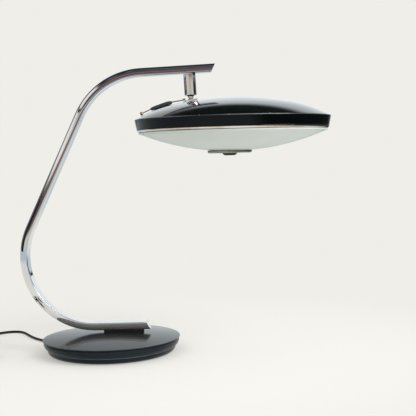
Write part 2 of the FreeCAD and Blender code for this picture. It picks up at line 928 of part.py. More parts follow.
def trim_ring():
    inside = band_foot_radius - shade_sheet - fit
    ring = Outline(trim_flange_radius, trim_foot()).line(trim_foot_radius, trim_foot())
    ring.bulge(trim_radius, trim_top(), -0.6).line(inside, trim_top()).line(inside, trim_top() + trim_collar)
    ring.line(inside - trim_sheet, trim_top() + trim_collar)
    ring.line(inside - trim_sheet, trim_foot() + trim_sheet)
    ring.line(trim_flange_radius, trim_foot() + trim_sheet)
    return placed(ring.turned(), SHADE)


def seal_foot():
    return trim_foot() - snug - seal_thickness


def glass_seal():
    bore, width = 2 * (glass_width - 1), 2 * (glass_flange_radius - 0.4)
    seal = ring_between(bore, width, seal_foot(), seal_foot() + seal_thickness)
    return placed(seal, SHADE)


def bridge_line(drop):
    return crown_radius - shade_sheet - fit - drop


def lamp_bridge():
    """A deep cup with a flange that is welded to the inside of the crown."""
    inner, flange_end = bridge_radius - bridge_sheet, bridge_radius + bridge_flange
    upper, lower = bridge_line(0), bridge_line(bridge_sheet)
    centre = -crown_radius
    cup = Outline(0, -bridge_depth).line(bridge_radius - 2, -bridge_depth)
    cup.bulge(bridge_radius, -bridge_depth + 2, -0.58)
    cup.line(bridge_radius, centre + ball_z(lower, bridge_radius))
    cup.swing(0, centre, flange_end, centre + ball_z(lower, flange_end))
    cup.line(flange_end, centre + ball_z(upper, flange_end))
    cup.swing(0, centre, inner, centre + ball_z(upper, inner))
    cup.line(inner, -bridge_depth + bridge_sheet).line(0, -bridge_depth + bridge_sheet)
    rod_hole = rod(thread_diameter + 2 * snug, -bridge_depth - 1, -bridge_depth + 9, rod_offset)
    cable_hole = bar(V(-bridge_radius - 3, 0, cable_drop()), V(0, 0, cable_drop()), cord_diameter + 1)
    wire_hole = bar(V(0, 0, -lamp_drop), V(bridge_radius + 3, 0, -lamp_drop), 6)
    wire_holes = [spun(wire_hole, a) for a in lamp_angles()]
    return placed(cup.turned().cut([rod_hole, cable_hole] + wire_holes), SHADE)


def cable_drop():
    return -head_cable_drop


def lamp_angles():
    return [360 / lamp_count * i for i in range(lamp_count)]


def around_lamps(shape):
    """Copies of a piece that is drawn along +Z, laid outward at each lamp."""
    laid = FreeCAD.Placement(V(0, 0, -lamp_drop), FreeCAD.Rotation(UP, V(1, 0, 0)))
    return placed(group([spun(placed(shape, laid), a) for a in lamp_angles()]), SHADE)


def lamp_holders():
    start, end = bridge_radius - 6, bridge_radius + holder_length
    holder = rod(holder_diameter, start, end)
    holder = holder.cut(rod(holder_bore, end - cap_length - 1, end + 1))
    wall = Part.makeCylinder(bridge_radius + snug, 80, V(-40, 0, 0), V(1, 0, 0))
    return around_lamps(holder.cut(wall))


def cap_end():
    return bridge_radius + holder_length


def bulb_caps():
    cap = rod(cap_diameter, cap_end() - cap_length, cap_end())
    tip = Part.makeCone(2.5, cap_diameter / 2 - 1, 1.0, V(0, 0, cap_end() - cap_length - 1.0 + 0.05), UP)
    return around_lamps(joined(cap, tip))


def bulbs():
    start = cap_end() + snug
    centre = start + bulb_length - bulb_diameter / 2
    neck, wide = cap_diameter / 2 - 0.6, bulb_diameter / 2
    meet = radians(35)
    glass = Outline(0, start).line(neck, start).line(neck, start + 4)
    glass.bulge(wide * cos(meet), centre - wide * sin(meet), 2.2)
    glass.swing(0, centre, wide, centre).swing(0, centre, 0, centre + wide)
    return around_lamps(glass.turned())


def glass_depth():
    """How far the glass's middle hangs under the top of the crown."""
    bowl = glass_radius - ball_z(glass_radius, glass_width)
    return bowl + glass_edge_drop - glass_top()


def glass_centre():
    return glass_radius - glass_depth()


def glass_top():
    return seal_foot() - snug


def diffuser_glass():
    """A dish of constant wall with a flat flange round its edge."""
    inner = glass_radius - glass_thickness
    centre = glass_centre()
    flange_foot = glass_top() - glass_flange_thickness
    edge = centre - ball_z(glass_radius, glass_width)
    dish = Outline(0, centre - glass_radius).swing(0, centre, glass_width, edge)
    dish.line(glass_width, flange_foot).line(glass_flange_radius, flange_foot)
    dish.line(glass_flange_radius, glass_top())
    lip = glass_width - glass_thickness / 2
    dish.line(lip, glass_top()).line(lip, centre - ball_z(inner, lip)).swing(0, centre, 0, centre - inner)
    hole = rod(glass_hole_diameter, -glass_depth() - 1, 0, rod_offset)
    return placed(dish.turned().cut(hole), SHADE)


def disc_foot():
    return -glass_depth() - disc_thickness


def diffuser_disc():
    """The plate that carries the glass, hollowed to the glass's curve."""
    top = 3 - glass_depth()
    disc = rod(2 * disc_radius, disc_foot(), top)
    lower_edge = [e for e in disc.Edges if abs(e.BoundBox.ZMax - disc_foot()) < 0.01]
    disc = disc.makeFillet(disc_edge_radius, lower_edge)
    disc = placed(disc, FreeCAD.Placement(V(rod_offset, 0, 0), FreeCAD.Rotation()))
    hollow = Part.makeSphere(glass_radius + seat_gap, V(0, 0, glass_centre()))
    bore = rod(knob_boss_diameter + 2 * fit, disc_foot() - 1, 0, rod_offset)
    return placed(disc.cut([hollow, bore]), SHADE)


def knob_top():
    return disc_foot() - snug


def diffuser_knob():
    foot = knob_top() - knob_height
    knob = rod(knob_diameter, foot, knob_top())
    knob = knob.makeFillet(0.8, [e for e in knob.Edges if abs(e.BoundBox.ZMax - foot) < 0.01])
    flute_radius = 1.2
    circle = knob_diameter / 2 + flute_radius - knob_flute_depth
    flutes = [rod(2 * flute_radius, foot - 1, knob_top() + 1, circle * cos(a), circle * sin(a))
              for a in (2 * pi * i / knob_flutes for i in range(knob_flutes))]
    knob = knob.cut(flutes).fuse(rod(knob_boss_diameter, knob_top(), knob_top() + knob_boss_height))
    knob = knob.cut(rod(thread_diameter + 2 * snug, knob_top() - 2.9, 0))
    return placed(knob, SHADE.multiply(FreeCAD.Placement(V(rod_offset, 0, 0), FreeCAD.Rotation())))


def rod_top():
    return -bridge_depth + bridge_sheet + 9


def centre_rod():
    tube = ring_between(thread_bore, thread_diameter, knob_top() - 2.8, rod_top())
    return placed(tube, SHADE.multiply(FreeCAD.Placement(V(rod_offset, 0, 0), FreeCAD.Rotation())))


def rod_nuts():
    nuts = []
    for bottom in (-bridge_depth - 4, -bridge_depth + bridge_sheet):
        nut = hexagon(lock_nut_width, bottom, 4, rod_offset)
        nuts.append(nut.cut(rod(thread_diameter + 2 * snug, bottom - 1, bottom + 5, rod_offset)))
    return placed(group(nuts), SHADE)


def head_cable():
    """The cable from under the ball to the lamps' bridge."""
    start = SOCKET.multVec(V(0, 0, -socket_cup_depth + 1))
    end = SHADE.multVec(V(-bridge_radius + 8, 0, cable_drop()))
    way = SOCKET.Rotation.multVec(V(0, 0, -1))
    corner = start + way * ((end.z - start.z) / way.z)
    return tube_along(rounded([start, corner, end], "head cable", [head_cable_bend]), cord_diameter)


# Handle on the shade
def handle_track():
    track = Track(handle_start(), handle_rise, 180)
    return track.straight(handle_reach + handle_start() - handle_bend * tan(radians(handle_dip) / 2))


def handle_rod():
    track = handle_track().bend(handle_bend, handle_dip)
    track.straight(grip_length).bend(handle_bend, handle_tail_dip)
    track.straight(handle_tail - handle_ball_diameter / 2)
    return placed(tube_along(track.edges, handle_rod_diameter), SOCKET)


def handle_ball():
    track = handle_track().bend(handle_bend, handle_dip)
    track.straight(grip_length).bend(handle_bend, handle_tail_dip).straight(handle_tail)
    ball = Part.makeSphere(handle_ball_diameter / 2, track.at)
    back = track.at - track.direction() * (2 * handle_ball_diameter)
    stop = track.at - track.direction() * (handle_ball_diameter / 2)
    hole = bar(back, stop + track.direction() * 1.0, handle_rod_diameter + 2 * snug)
    return placed(ball.cut(hole), SOCKET).cut(handle_rod())


def handle_grip():
    track = handle_track().bend(handle_bend, handle_dip)
    near, far = grip_diameter / 2, grip_tip_diameter / 2
    bore = handle_rod_diameter / 2 + fit
    grip = Outline(bore, 0).line(near - 1.2, 0).bulge(near, 1.2, -0.35)
    grip.line(far, grip_length - 1.2).bulge(far - 1.2, grip_length, -0.35).line(bore, grip_length)
    place = FreeCAD.Placement(track.at, FreeCAD.Rotation(UP, track.direction()))
    return placed(placed(grip.turned(), place), SOCKET)


# Cord: its points are chosen by hand, and it lies on the table
floor_height = cord_diameter / 2 + snug
switch_axis = switch_split
switch_in = V(switch_x, switch_y + switch_length / 2, switch_axis)
switch_out = V(switch_x, switch_y - switch_length / 2, switch_axis)
coil_outer = coil_mean_radius + coil_pitch * coil_loops / 2
coil_inner = coil_outer - coil_pitch * coil_loops
coil_edge_x = coil_x - coil_outer
plug_entry = V(-247, -116, plug_thickness / 2 + snug)


def cord_lead():
    start = along_cord(cord_start_distance())
    straight = along_cord(ring_radius + relief_length + 14)
    points = [start, straight] + [V(x, y, floor_height) for x, y in cord_way_points]
    reach = cord_turn_radius / cos(radians(cord_turn / cord_turn_points / 2))
    for i in range(cord_turn_points):
        a = radians(cord_turn_end - cord_turn * (1 - (i + 0.5) / cord_turn_points))
        points.append(V(cord_turn_x + reach * cos(a), cord_turn_y + reach * sin(a), floor_height))
    points += [V(switch_in.x, switch_in.y + 14, switch_axis), switch_in + V(0, -switch_wall, 0)]
    return tube_along(rounded(points, "cord lead"), cord_diameter)


def cord_middle():
    points = [switch_out + V(0, switch_wall, 0), switch_out + V(0, -15, 0),
              V(switch_x + 2.5, 30, floor_height + 0.3), V(coil_edge_x, 6, floor_height),
              V(coil_edge_x, coil_y + coil_lead, floor_height)]
    return tube_along(rounded(points, "cord middle"), cord_diameter)


def coil_point(turns):
    """A point of the coil's line after some turns from its start at the coil's left side."""
    layer = turns / coil_loops
    down = layer % 2
    radius = coil_outer - coil_pitch * coil_loops * (down if down <= 1 else 2 - down)
    height = floor_height
    for k in range(1, coil_layers):
        step = (turns - k * coil_loops) / 0.5 + 0.5
        height += coil_layer_pitch * min(max(step, 0), 1)
    a = pi + 2 * pi * turns
    return V(coil_x + radius * cos(a), coil_y + radius * sin(a), height)


def coil_heading(turns, last):
    if turns in (0, last):
        return V(0, -1, 0)
    step = 0.02
    return (coil_point(turns + step) - coil_point(turns - step)).normalize()


def biarc(start, start_way, end, end_way):
    """Two tangent arcs between two points with their headings."""
    chord = end - start
    sum_way = start_way + end_way
    a, b = 2 * (1 - start_way.dot(end_way)), 2 * chord.dot(sum_way)
    reach = (-b + sqrt(b * b + 4 * a * chord.dot(chord))) / (2 * a)
    near, far = start + start_way * reach, end - end_way * reach
    meet = (near + far) * 0.5
    arcs = []
    for first, corner, last in ((start, near, meet), (meet, far, end)):
        weight = cos((corner - first).getAngle(last - first))
        middle = (first + last + corner * (2 * weight)) * (1 / (2 + 2 * weight))
        arcs.append(Part.Arc(first, middle, last).toShape())
    return arcs


def coil_edges():
    total = coil_loops * coil_layers
    start, finish = coil_point(0), coil_point(total)
    edges = [Part.makeLine(start + V(0, coil_lead, 0), start)]
    quarters = 4 * total
    for i in range(quarters):
        t0, t1 = i / 4, (i + 1) / 4
        edges += biarc(coil_point(t0), coil_heading(t0, total), coil_point(t1), coil_heading(t1, total))
    edges.append(Part.makeLine(finish, finish + V(0, -coil_lead, 0)))
    return edges


def coil_gap():
    """The least gap of the coil to itself, measured on points of its line."""
    per_turn = 72
    total = coil_loops * coil_layers
    points = [coil_point(i / per_turn) for i in range(per_turn * total + 1)]
    least = min((p - q).Length for i, p in enumerate(points) for q in points[i + per_turn // 2:])
    return least - cord_diameter


def cord_coil():
    edges = coil_edges()
    print("coil length", round(sum(e.Length for e in edges), 1), "least gap to itself", round(coil_gap(), 2))
    return tube_along(edges, cord_diameter)


def cord_end():
    top = coil_point(coil_loops * coil_layers)
    points = [top + V(0, -coil_lead, 0), top + V(0.5, -coil_lead - 16, -0.8), V(-258, -80, 9.5),
              V(plug_entry.x, plug_entry.y + 14, plug_entry.z), plug_entry]
    return tube_along(rounded(points, "cord end"), cord_diameter)


# Switch on the cord
def switch_housing():
    box = block(-switch_width / 2, switch_width / 2, -switch_length / 2, switch_length / 2, 0, switch_height)
    upright = [e for e in box.Edges if abs(e.tangentAt(e.FirstParameter).z) > 0.9]
    box = box.makeFillet(switch_corner, upright)
    faces = [e for e in box.Edges if abs(e.BoundBox.ZMax - e.BoundBox.ZMin) < 0.01 and e.BoundBox.ZMax > 1]
    return box.makeFillet(switch_edge, faces)


def switch_shell():
    across, along = switch_width / 2 - switch_wall, switch_length / 2 - switch_wall
    inner = block(-across, across, -along, along, switch_wall, switch_height - switch_wall)
    pillars = [rod(6, switch_wall, switch_height - switch_wall, x, y) for x, y in switch_screw_places()]
    inlet = bar(V(0, -switch_length, switch_axis), V(0, switch_length, switch_axis), cord_diameter + 2 * fit)
    return switch_housing().cut(inner.cut(pillars)).cut(inlet)


def switch_screw_places():
    x, y = switch_width / 2 - switch_wall - 2.3, switch_length / 2 - switch_wall - 3.3
    return [(-x, -y), (x, y)]


def at_switch(shape):
    return placed(shape, FreeCAD.Placement(V(switch_x, switch_y, 0), FreeCAD.Rotation()))


def rocker_pivot():
    return switch_height - 3.0


def switch_base():
    lower = block(-switch_width, switch_width, -switch_length, switch_length, -1, switch_split)
    holes = [rod(3.1, -1, switch_height, x, y) for x, y in switch_screw_places()]
    heads = [rod(5.6, -1, 1.9, x, y) for x, y in switch_screw_places()]
    return at_switch(switch_shell().common(lower).cut(holes + heads))


def switch_cover():
    upper = block(-switch_width, switch_width, -switch_length, switch_length, switch_split, switch_height + 1)
    half_length, half_width = rocker_length / 2 + 1.0, rocker_width / 2 + 0.4
    slot = block(-half_width, half_width, -half_length, half_length, switch_split, switch_height + 1)
    reach, level = rocker_pin_reach(), rocker_pivot()
    pin = bar(V(-reach, 0, level), V(reach, 0, level), rocker_pin_diameter + 2 * snug)
    cheek_top = switch_height - switch_wall + 0.1
    cheeks = block(-half_width - 2, half_width + 2, -3, 3, level - 3, cheek_top)
    holes = [rod(3.1, switch_split - 1, switch_height - 3, x, y) for x, y in switch_screw_places()]
    cover = joined(switch_shell().common(upper), cheeks)
    return at_switch(cover.cut([slot, pin] + holes))


def rocker_pin_reach():
    return rocker_width / 2 + 2.0


def tilted(shape):
    """The rocker as it lies at rest, one end down."""
    about = V(0, 0, rocker_pivot())
    shape.rotate(about, V(1, 0, 0), -rocker_tilt)
    return shape


def switch_rocker():
    half, pivot = rocker_length / 2, rocker_pivot()
    side = Outline(-half, pivot - 1.5).line(-2.5, pivot - 3.5).line(2.5, pivot - 3.5).line(half, pivot - 1.5)
    side.line(half, pivot + 3.4).bulge(-half, pivot + 3.4, -0.9)
    rocker = side.wide(rocker_width / 2)
    rocker.rotate(V(0, 0, 0), UP, 90)
    rocker = rocker.cut(bar(V(-20, 0, pivot), V(20, 0, pivot), rocker_pin_diameter + 2 * snug))
    return at_switch(tilted(rocker))


def rocker_pin():
    reach = rocker_pin_reach()
    return at_switch(bar(V(-reach, 0, rocker_pivot()), V(reach, 0, rocker_pivot()), rocker_pin_diameter))


def switch_screws():
    return at_switch(group([joined(rod(3.0, 1.8, switch_height - 3.2, x, y), rod(5.4, 0.4, 1.8, x, y))
                            for x, y in switch_screw_places()]))


def switch_contacts():
    carrier = block(-6, 6, -6, 6, switch_wall, switch_axis + 1.4)
    return at_switch(carrier)


def switch_inner_parts():
    return group([rocker_pin(), switch_contacts()] + switch_screws().Solids)


# Plug
def plug_body():
    half, thick = plug_width / 2, plug_thickness
    nose = [V(-half, 0, 0), V(-half, -plug_length, 0), V(half, -plug_length, 0), V(half, 0, 0),
            V(7, plug_taper * 0.8, 0), V(-7, plug_taper * 0.8, 0), V(-half, 0, 0)]
    body = Part.Face(Part.makePolygon(nose)).extrude(V(0, 0, thick))
    body = body.makeFillet(3.0, [e for e in body.Edges if abs(e.tangentAt(e.FirstParameter).z) > 0.9])
    body = body.makeFillet(1.5, [e for e in body.Edges if e.BoundBox.ZMax - e.BoundBox.ZMin < 0.01])
    sleeve = Part.makeCone(5.0, 3.6, plug_taper, V(0, plug_taper * 0.8 - 2, thick / 2), V(0, 1, 0))
    body = joined(body, sleeve)
    reach = plug_taper * 1.8 - 2
    bore = bar(V(0, reach + 1, thick / 2), V(0, reach - 12, thick / 2), cord_diameter + 2 * snug)
    pins = []
    for x in (-plug_pin_spacing / 2, plug_pin_spacing / 2):
        start, end = V(x, -plug_length - 1, thick / 2), V(x, plug_pin_socket - plug_length, thick / 2)
        pins.append(bar(start, end, plug_pin_diameter + 2 * snug))
    return placed(body.cut([bore] + pins), at_plug())


def at_plug():
    reach = plug_taper * 1.8 - 2
    return FreeCAD.Placement(V(plug_entry.x, plug_entry.y - reach + 12, snug), FreeCAD.Rotation())


def plug_pins():
    pins = []
    for x in (-plug_pin_spacing / 2, plug_pin_spacing / 2):
        tip = -plug_length - plug_pin_length
        end = V(x, plug_pin_socket - plug_length - fit, plug_thickness / 2)
        pin = bar(V(x, tip, plug_thickness / 2), end, plug_pin_diameter)
        pins.append(pin.makeFillet(1.2, [e for e in pin.Edges if abs(e.BoundBox.YMax - tip) < 0.01]))
    return placed(group(pins), at_plug())


pieces = {
    "base_cover": base_cover, "base_weight": base_weight, "foot_ring": foot_ring,
    "bottom_plate": bottom_plate, "felt_pad": felt_pad, "bottom_screws": bottom_screws,
    "arm_bolts": arm_bolts, "bolt_washers": bolt_washers, "foot_saddle": foot_saddle,
    "arm_tube": arm_tube, "arm_foot_cap": lambda: end_cap(True), "arm_tip_cap": lambda: end_cap(False),
    "foot_nuts": foot_nuts, "neck_anchor": neck_anchor, "cable_bush": cable_bush,
    "arm_cable": arm_cable, "terminal_block": terminal_block, "terminal_screws": terminal_screws,
    "cord_clamp": cord_clamp, "clamp_screws": clamp_screws, "strain_relief": strain_relief,
    "inner_lead": inner_lead, "neck_washer": neck_washer, "neck_sleeve": neck_sleeve,
    "neck_nipple": neck_nipple, "neck_spring_washer": neck_spring_washer,
    "neck_lock_nut": neck_lock_nut, "neck_plug": neck_plug, "groove_washer": groove_washer,
    "stud_nut": stud_nut, "ball_stud": ball_stud, "ball_liner": ball_liner, "socket_ring": socket_ring,
    "socket_cup": socket_cup, "shade_dome": shade_dome, "trim_ring": trim_ring,
    "glass_seal": glass_seal, "lamp_bridge": lamp_bridge, "lamp_holders": lamp_holders,
    "bulb_caps": bulb_caps, "bulbs": bulbs, "diffuser_glass": diffuser_glass,
    "diffuser_disc": diffuser_disc, "diffuser_knob": diffuser_knob, "centre_rod": centre_rod,
    "rod_nuts": rod_nuts, "head_cable": head_cable, "handle_rod": handle_rod,
    "handle_ball": handle_ball, "handle_grip": handle_grip, "cord_lead": cord_lead,
    "cord_middle": cord_middle, "cord_coil": cord_coil, "cord_end": cord_end,
    "switch_base": switch_base, "switch_cover": switch_cover, "switch_rocker": switch_rocker,
    "switch_inner_parts": switch_inner_parts, "plug_body": plug_body, "plug_pins": plug_pins,
}

os.makedirs("parts", exist_ok=True)
for name, make in pieces.items():
    shape = make()
    solids = shape.Solids
    if not shape.isValid() or not solids or min(s.Volume for s in solids) <= 0:
        print("CHECK", name, shape.isValid(), len(solids))
    shape.exportStep("parts/" + name + ".step")
print(len(pieces), "nodes")
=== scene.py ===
from math import acos, atan2, cos, degrees, hypot, pi, radians, sin, sqrt, tan

import bpy
from mathutils import Matrix, Vector


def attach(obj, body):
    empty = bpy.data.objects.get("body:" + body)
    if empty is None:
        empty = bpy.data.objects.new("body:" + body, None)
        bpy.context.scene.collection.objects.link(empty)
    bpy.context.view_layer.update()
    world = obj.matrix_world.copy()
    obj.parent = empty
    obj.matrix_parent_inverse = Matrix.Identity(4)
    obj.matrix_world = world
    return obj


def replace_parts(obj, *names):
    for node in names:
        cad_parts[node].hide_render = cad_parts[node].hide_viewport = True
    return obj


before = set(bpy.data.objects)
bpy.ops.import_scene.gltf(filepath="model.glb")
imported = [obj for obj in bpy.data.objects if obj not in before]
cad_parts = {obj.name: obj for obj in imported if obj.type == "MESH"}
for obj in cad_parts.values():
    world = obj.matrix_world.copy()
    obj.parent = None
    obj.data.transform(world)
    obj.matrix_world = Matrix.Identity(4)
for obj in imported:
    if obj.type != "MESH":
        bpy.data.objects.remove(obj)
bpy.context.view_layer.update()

MM = 0.001

# Sizes of the lamp in millimetres and its angles in degrees. They follow the part's source
cover_radius, cover_edge_height, cover_rise, cover_sheet, cover_lip = 123.4, 27.3, 9.7, 1.2, 1.5
weight_radius, weight_waist, weight_shoulder, weight_bulge = 121.7, 115.6, 24.8, 2.4
weight_groove_depth, seat_gap, plate_radius = 2.5, 0.3, 90.0
ring_height, ring_radius, ring_foot_radius, ring_bulge, ring_foot = 11.2, 115.4, 107.5, 2.2, 0.8
ring_edge = 0.6
ring_bore, felt_seat_radius, felt_top, plate_seat_radius, plate_top = 82.0, 98.3, 1.6, 90.3, 3.6
arm_radius, arm_wall, arm_edge_radius, arm_rim_depth = 15.5, 1.5, 1.4, 3.0
arm_foot_height, arm_foot_end, arm_foot_length = 55.0, 72.4, 98.3
arm_lower_bend, arm_slant, arm_slant_length = 118.5, 64.66, 221.1
arm_upper_bend, arm_top_rise, arm_top_length, arm_end_slope = 121.2, 2.06, 133.7, 27.5
neck_reach, neck_diameter, neck_length, neck_washer = 86.5, 21.6, 38.6, 1.0
ball_radius, ball_drop, stud_diameter, collar_diameter, collar_height = 8.0, 51.43, 7.0, 9.7, 3.0
groove_washer_height = 1.5
shade_offset, ball_sink = 73.15, 2.35
crown_radius, crown_width, shoulder_radius = 512.0, 110.0, 230.0
shade_radius, band_foot_radius, band_height, shade_sheet = 175.0, 171.3, 18.6, 1.0
trim_radius, trim_foot_radius, trim_height, trim_flange_radius = 170.8, 168.5, 3.3, 160.5
trim_sheet, trim_collar, band_gap, hairline = 1.2, 8.0, 0.1, 0.05
glass_radius, glass_depth, glass_thickness, glass_width, glass_flange = 430.0, 95.8, 3.0, 163.5, 168.2
glass_hole, glass_drop, glass_edge = 23.0, 0.65, 3.1
rod_offset, disc_radius, disc_thickness, disc_bore = -6.5, 39.5, 3.5, 7.6
disc_step_start, disc_step_end, disc_step_depth = 16.0, 34.0, 0.35
disc_hollow_radius, disc_hollow_depth = 26.0, 2.6
knob_radius, knob_height, knob_boss_radius, knob_boss_height = 13.0, 4.1, 7.5, 16.0
knob_bore, knob_bore_depth, knob_flutes, knob_flute_depth = 5.05, 2.9, 24, 0.4
grip_start, grip_end, grip_bore = (121.10, 0.0, 446.35), (82.235, 0.0, 434.65), 1.1
cord_diameter, cord_azimuth, cord_height, cord_length, cord_straight = 5.0, 147.0, 6.8, 1819.0, 14.0
relief_start, relief_length = 2.2, 22.0
switch_x, switch_y, switch_length, switch_split = -267.2, 95.0, 58.0, 7.0
coil_x, coil_y, coil_mean_radius, coil_pitch, coil_layer_pitch = -235.5, -25.0, 25.2, 5.55, 5.45
coil_loops, coil_layers, coil_lead, coil_climb_turns = 2, 4, 7.0, 0.5
cord_turn, cord_turn_end, cord_turn_points, cord_turn_radius = 129.6, 155.0, 3, 29.2
cord_turn_x, cord_turn_y = -219.0, 177.0
cord_way_points = [(-138.0, 99.0), (-170.5, 140.0)]
middle_points = [(-267.2, 51, 7.0), (-264.7, 30, 2.85), (-266.25, 6, 2.55)]
end_points = [(-265.75, -48, 18.1), (-258, -80, 9.5), (-247, -102, 6.9), (-247, -116, 6.9)]

# The camera fitted to the photograph, in metres and radians, and the tones behind the lamp
camera_place, camera_tilt, camera_roll = (0.18027, -1.70256, 0.35563), 0.0586, 0.0261
camera_lens, camera_sensor = 82.2, 36.0
floor_reach = 12.0
backdrop, floor_albedo = (0.863, 0.855, 0.815), (0.80, 0.79, 0.755)


# Shader values. The mix node's colour sockets share their names with others, so they go by number.
MIX_FIRST, MIX_SECOND, MIX_RESULT = 6, 7, 2


class Value:
    """A value in a finish's node tree. Arithmetic on it adds the nodes."""

    def __init__(self, finish, socket):
        self.finish, self.socket = finish, socket

    def math(self, operation, *others):
        """This value and others joined by a math node."""
        return self.finish.node("ShaderNodeMath", {"operation": operation}, [self, *others])

    def __add__(self, other):
        return self.math("ADD", other)

    def __sub__(self, other):
        return self.math("SUBTRACT", other)

    def __rsub__(self, other):
        return self.finish.node("ShaderNodeMath", {"operation": "SUBTRACT"}, [other, self])

    def __mul__(self, other):
        return self.math("MULTIPLY", other)

    __radd__, __rmul__ = __add__, __mul__

    def above(self, edge, soft):
        """From 0 to 1 as the value passes an edge."""
        settings = {"interpolation_type": "SMOOTHSTEP"}
        inputs = {"Value": self, "From Min": edge - soft, "From Max": edge + soft}
        return self.finish.node("ShaderNodeMapRange", settings, inputs)

    def between(self, low, high, soft):
        """1 between two edges and 0 outside them."""
        return self.above(low, soft) * (1 - self.above(high, soft))


class Finish:
    """A material with one surface shader and the nodes that vary it."""

    def __init__(self, name, **constants):
        self.material = bpy.data.materials.new(name)
        self.material.use_nodes = True
        self.tree = self.material.node_tree
        self.shader = self.tree.nodes["Principled BSDF"]
        self.set(**constants)

    def node(self, kind, settings=None, inputs=(), output=0):
        """Adds a node, sets it up and gives the value of one output."""
        made = self.tree.nodes.new(kind)
        for key, value in (settings or {}).items():
            setattr(made, key, value)
        pairs = inputs.items() if isinstance(inputs, dict) else enumerate(inputs)
        for key, value in pairs:
            self.feed(made.inputs[key], value)
        return Value(self, made.outputs[output])

    def feed(self, socket, value):
        """Links a value to a socket, or sets a plain number or colour."""
        if isinstance(value, Value):
            self.tree.links.new(value.socket, socket)
        elif isinstance(value, tuple) and len(value) == 3 and socket.type == "RGBA":
            socket.default_value = (*value, 1.0)
        else:
            socket.default_value = value

    def set(self, **inputs):
        """Sets sockets of the surface shader, named with underscores for spaces."""
        for key, value in inputs.items():
            self.feed(self.shader.inputs[key.replace("_", " ")], value)
        return self

    def place(self):
        """The place on the object, in metres."""
        return self.node("ShaderNodeTexCoord", output="Object")

    def along(self, axis):
        """The place along one axis, X, Y or Z."""
        return self.node("ShaderNodeSeparateXYZ", None, {"Vector": self.place()}, output=axis)

    def from_axis(self, x):
        """The distance from an upright axis at x millimetres, in metres."""
        kind, axis = "ShaderNodeVectorMath", (x * MM, 0.0, 0.0)
        centred = self.node(kind, {"operation": "SUBTRACT"}, [self.place(), axis])
        flat = self.node(kind, {"operation": "MULTIPLY"}, [centred, (1.0, 1.0, 0.0)])
        return self.node(kind, {"operation": "LENGTH"}, [flat], output="Value")

    def stretched(self, scale):
        """The place, scaled along each axis."""
        return self.node("ShaderNodeMapping", None, {"Vector": self.place(), "Scale": scale})

    def noise(self, scale, detail=3.0, rough=0.55, at=None, distortion=0.0):
        inputs = {"Vector": at or self.place(), "Scale": scale, "Detail": detail, "Roughness": rough,
                  "Distortion": distortion}
        return self.node("ShaderNodeTexNoise", None, inputs)

    def cells(self, scale):
        return self.node("ShaderNodeTexVoronoi", None, {"Vector": self.place(), "Scale": scale})

    def blend(self, factor, first, second):
        """A colour between two colours."""
        inputs = {"Factor": factor, MIX_FIRST: first, MIX_SECOND: second}
        return self.node("ShaderNodeMix", {"data_type": "RGBA"}, inputs, output=MIX_RESULT)

    def ray(self, *kinds):
        """1 for a ray of any of these kinds."""
        first, *others = (self.node("ShaderNodeLightPath", output=f"Is {kind} Ray") for kind in kinds)
        for other in others:
            first = first.math("MAXIMUM", other)
        return first

    def bump(self, height, depth, strength=1.0):
        """Gives the surface a relief of a depth in metres."""
        inputs = {"Height": height, "Distance": depth, "Strength": strength}
        return self.set(Normal=self.node("ShaderNodeBump", None, inputs))


# Finishes
def black_lacquer():
    """Deep gloss paint with a faint orange peel, dust and a few dull specks."""
    paint = Finish("black_lacquer", Coat_Weight=0.5, Coat_Roughness=0.02, Coat_IOR=1.36, IOR=1.2)
    cloud, dust = paint.noise(9.0, 4.0), paint.noise(1400.0, 2.0)
    speck = 1 - paint.cells(95.0).above(0.012, 0.004)
    lift = dust.above(0.69, 0.03) * 0.5 + cloud.above(0.62, 0.2) * 0.25
    paint.set(Base_Color=paint.blend(lift, (0.014, 0.0165, 0.017), (0.032, 0.036, 0.037)))
    paint.set(Roughness=0.2 + cloud * 0.1 + speck * 0.3)
    return paint.bump(paint.noise(420.0, 1.0) * 0.6 + paint.noise(60.0, 2.0), 0.00002, 0.5)


def shade_lacquer():
    """The shade's lacquer, with a painted highlight along the crease at its rim, and chipped to bright metal
    in a few places.
    """
    paint = Finish("shade_lacquer", Coat_Roughness=0.02, Coat_IOR=1.65, IOR=1.2)
    cloud, dust = paint.noise(7.0, 4.0), paint.noise(1500.0, 2.0)
    height = paint.along("Z")
    from_rim = (height - rim_height * MM).math("ABSOLUTE")
    near_rim = 1 - from_rim.above(0.0016, 0.0008)
    dome = height.above(rim_height * MM, 0.0004)
    crease = 1 - from_rim.above(0.0006, 0.0003)
    chip = near_rim * paint.noise(210.0, 3.0, 0.7).above(0.70, 0.02)
    fleck = paint.noise(330.0, 2.0).above(0.83, 0.01)
    bare = chip.math("MAXIMUM", fleck)
    black = paint.blend(dust.above(0.7, 0.03), (0.0012, 0.0022, 0.0026), (0.012, 0.014, 0.016))
    # A broken pale line along the crease at the rim: a painted highlight.
    with_crease_highlight = paint.blend(crease * cloud.above(0.45, 0.2), black, (0.17, 0.175, 0.17))
    paint.set(Base_Color=paint.blend(bare, with_crease_highlight, (0.46, 0.44, 0.40)))
    paint.set(Roughness=0.1 + cloud * 0.07 + bare * 0.3, Coat_Weight=(0.1 + dome * 0.9) * (1 - bare))
    return paint.bump(paint.noise(400.0, 1.0) * 0.5 + paint.noise(45.0, 2.0) - bare * 2.0, 0.00002, 0.5)


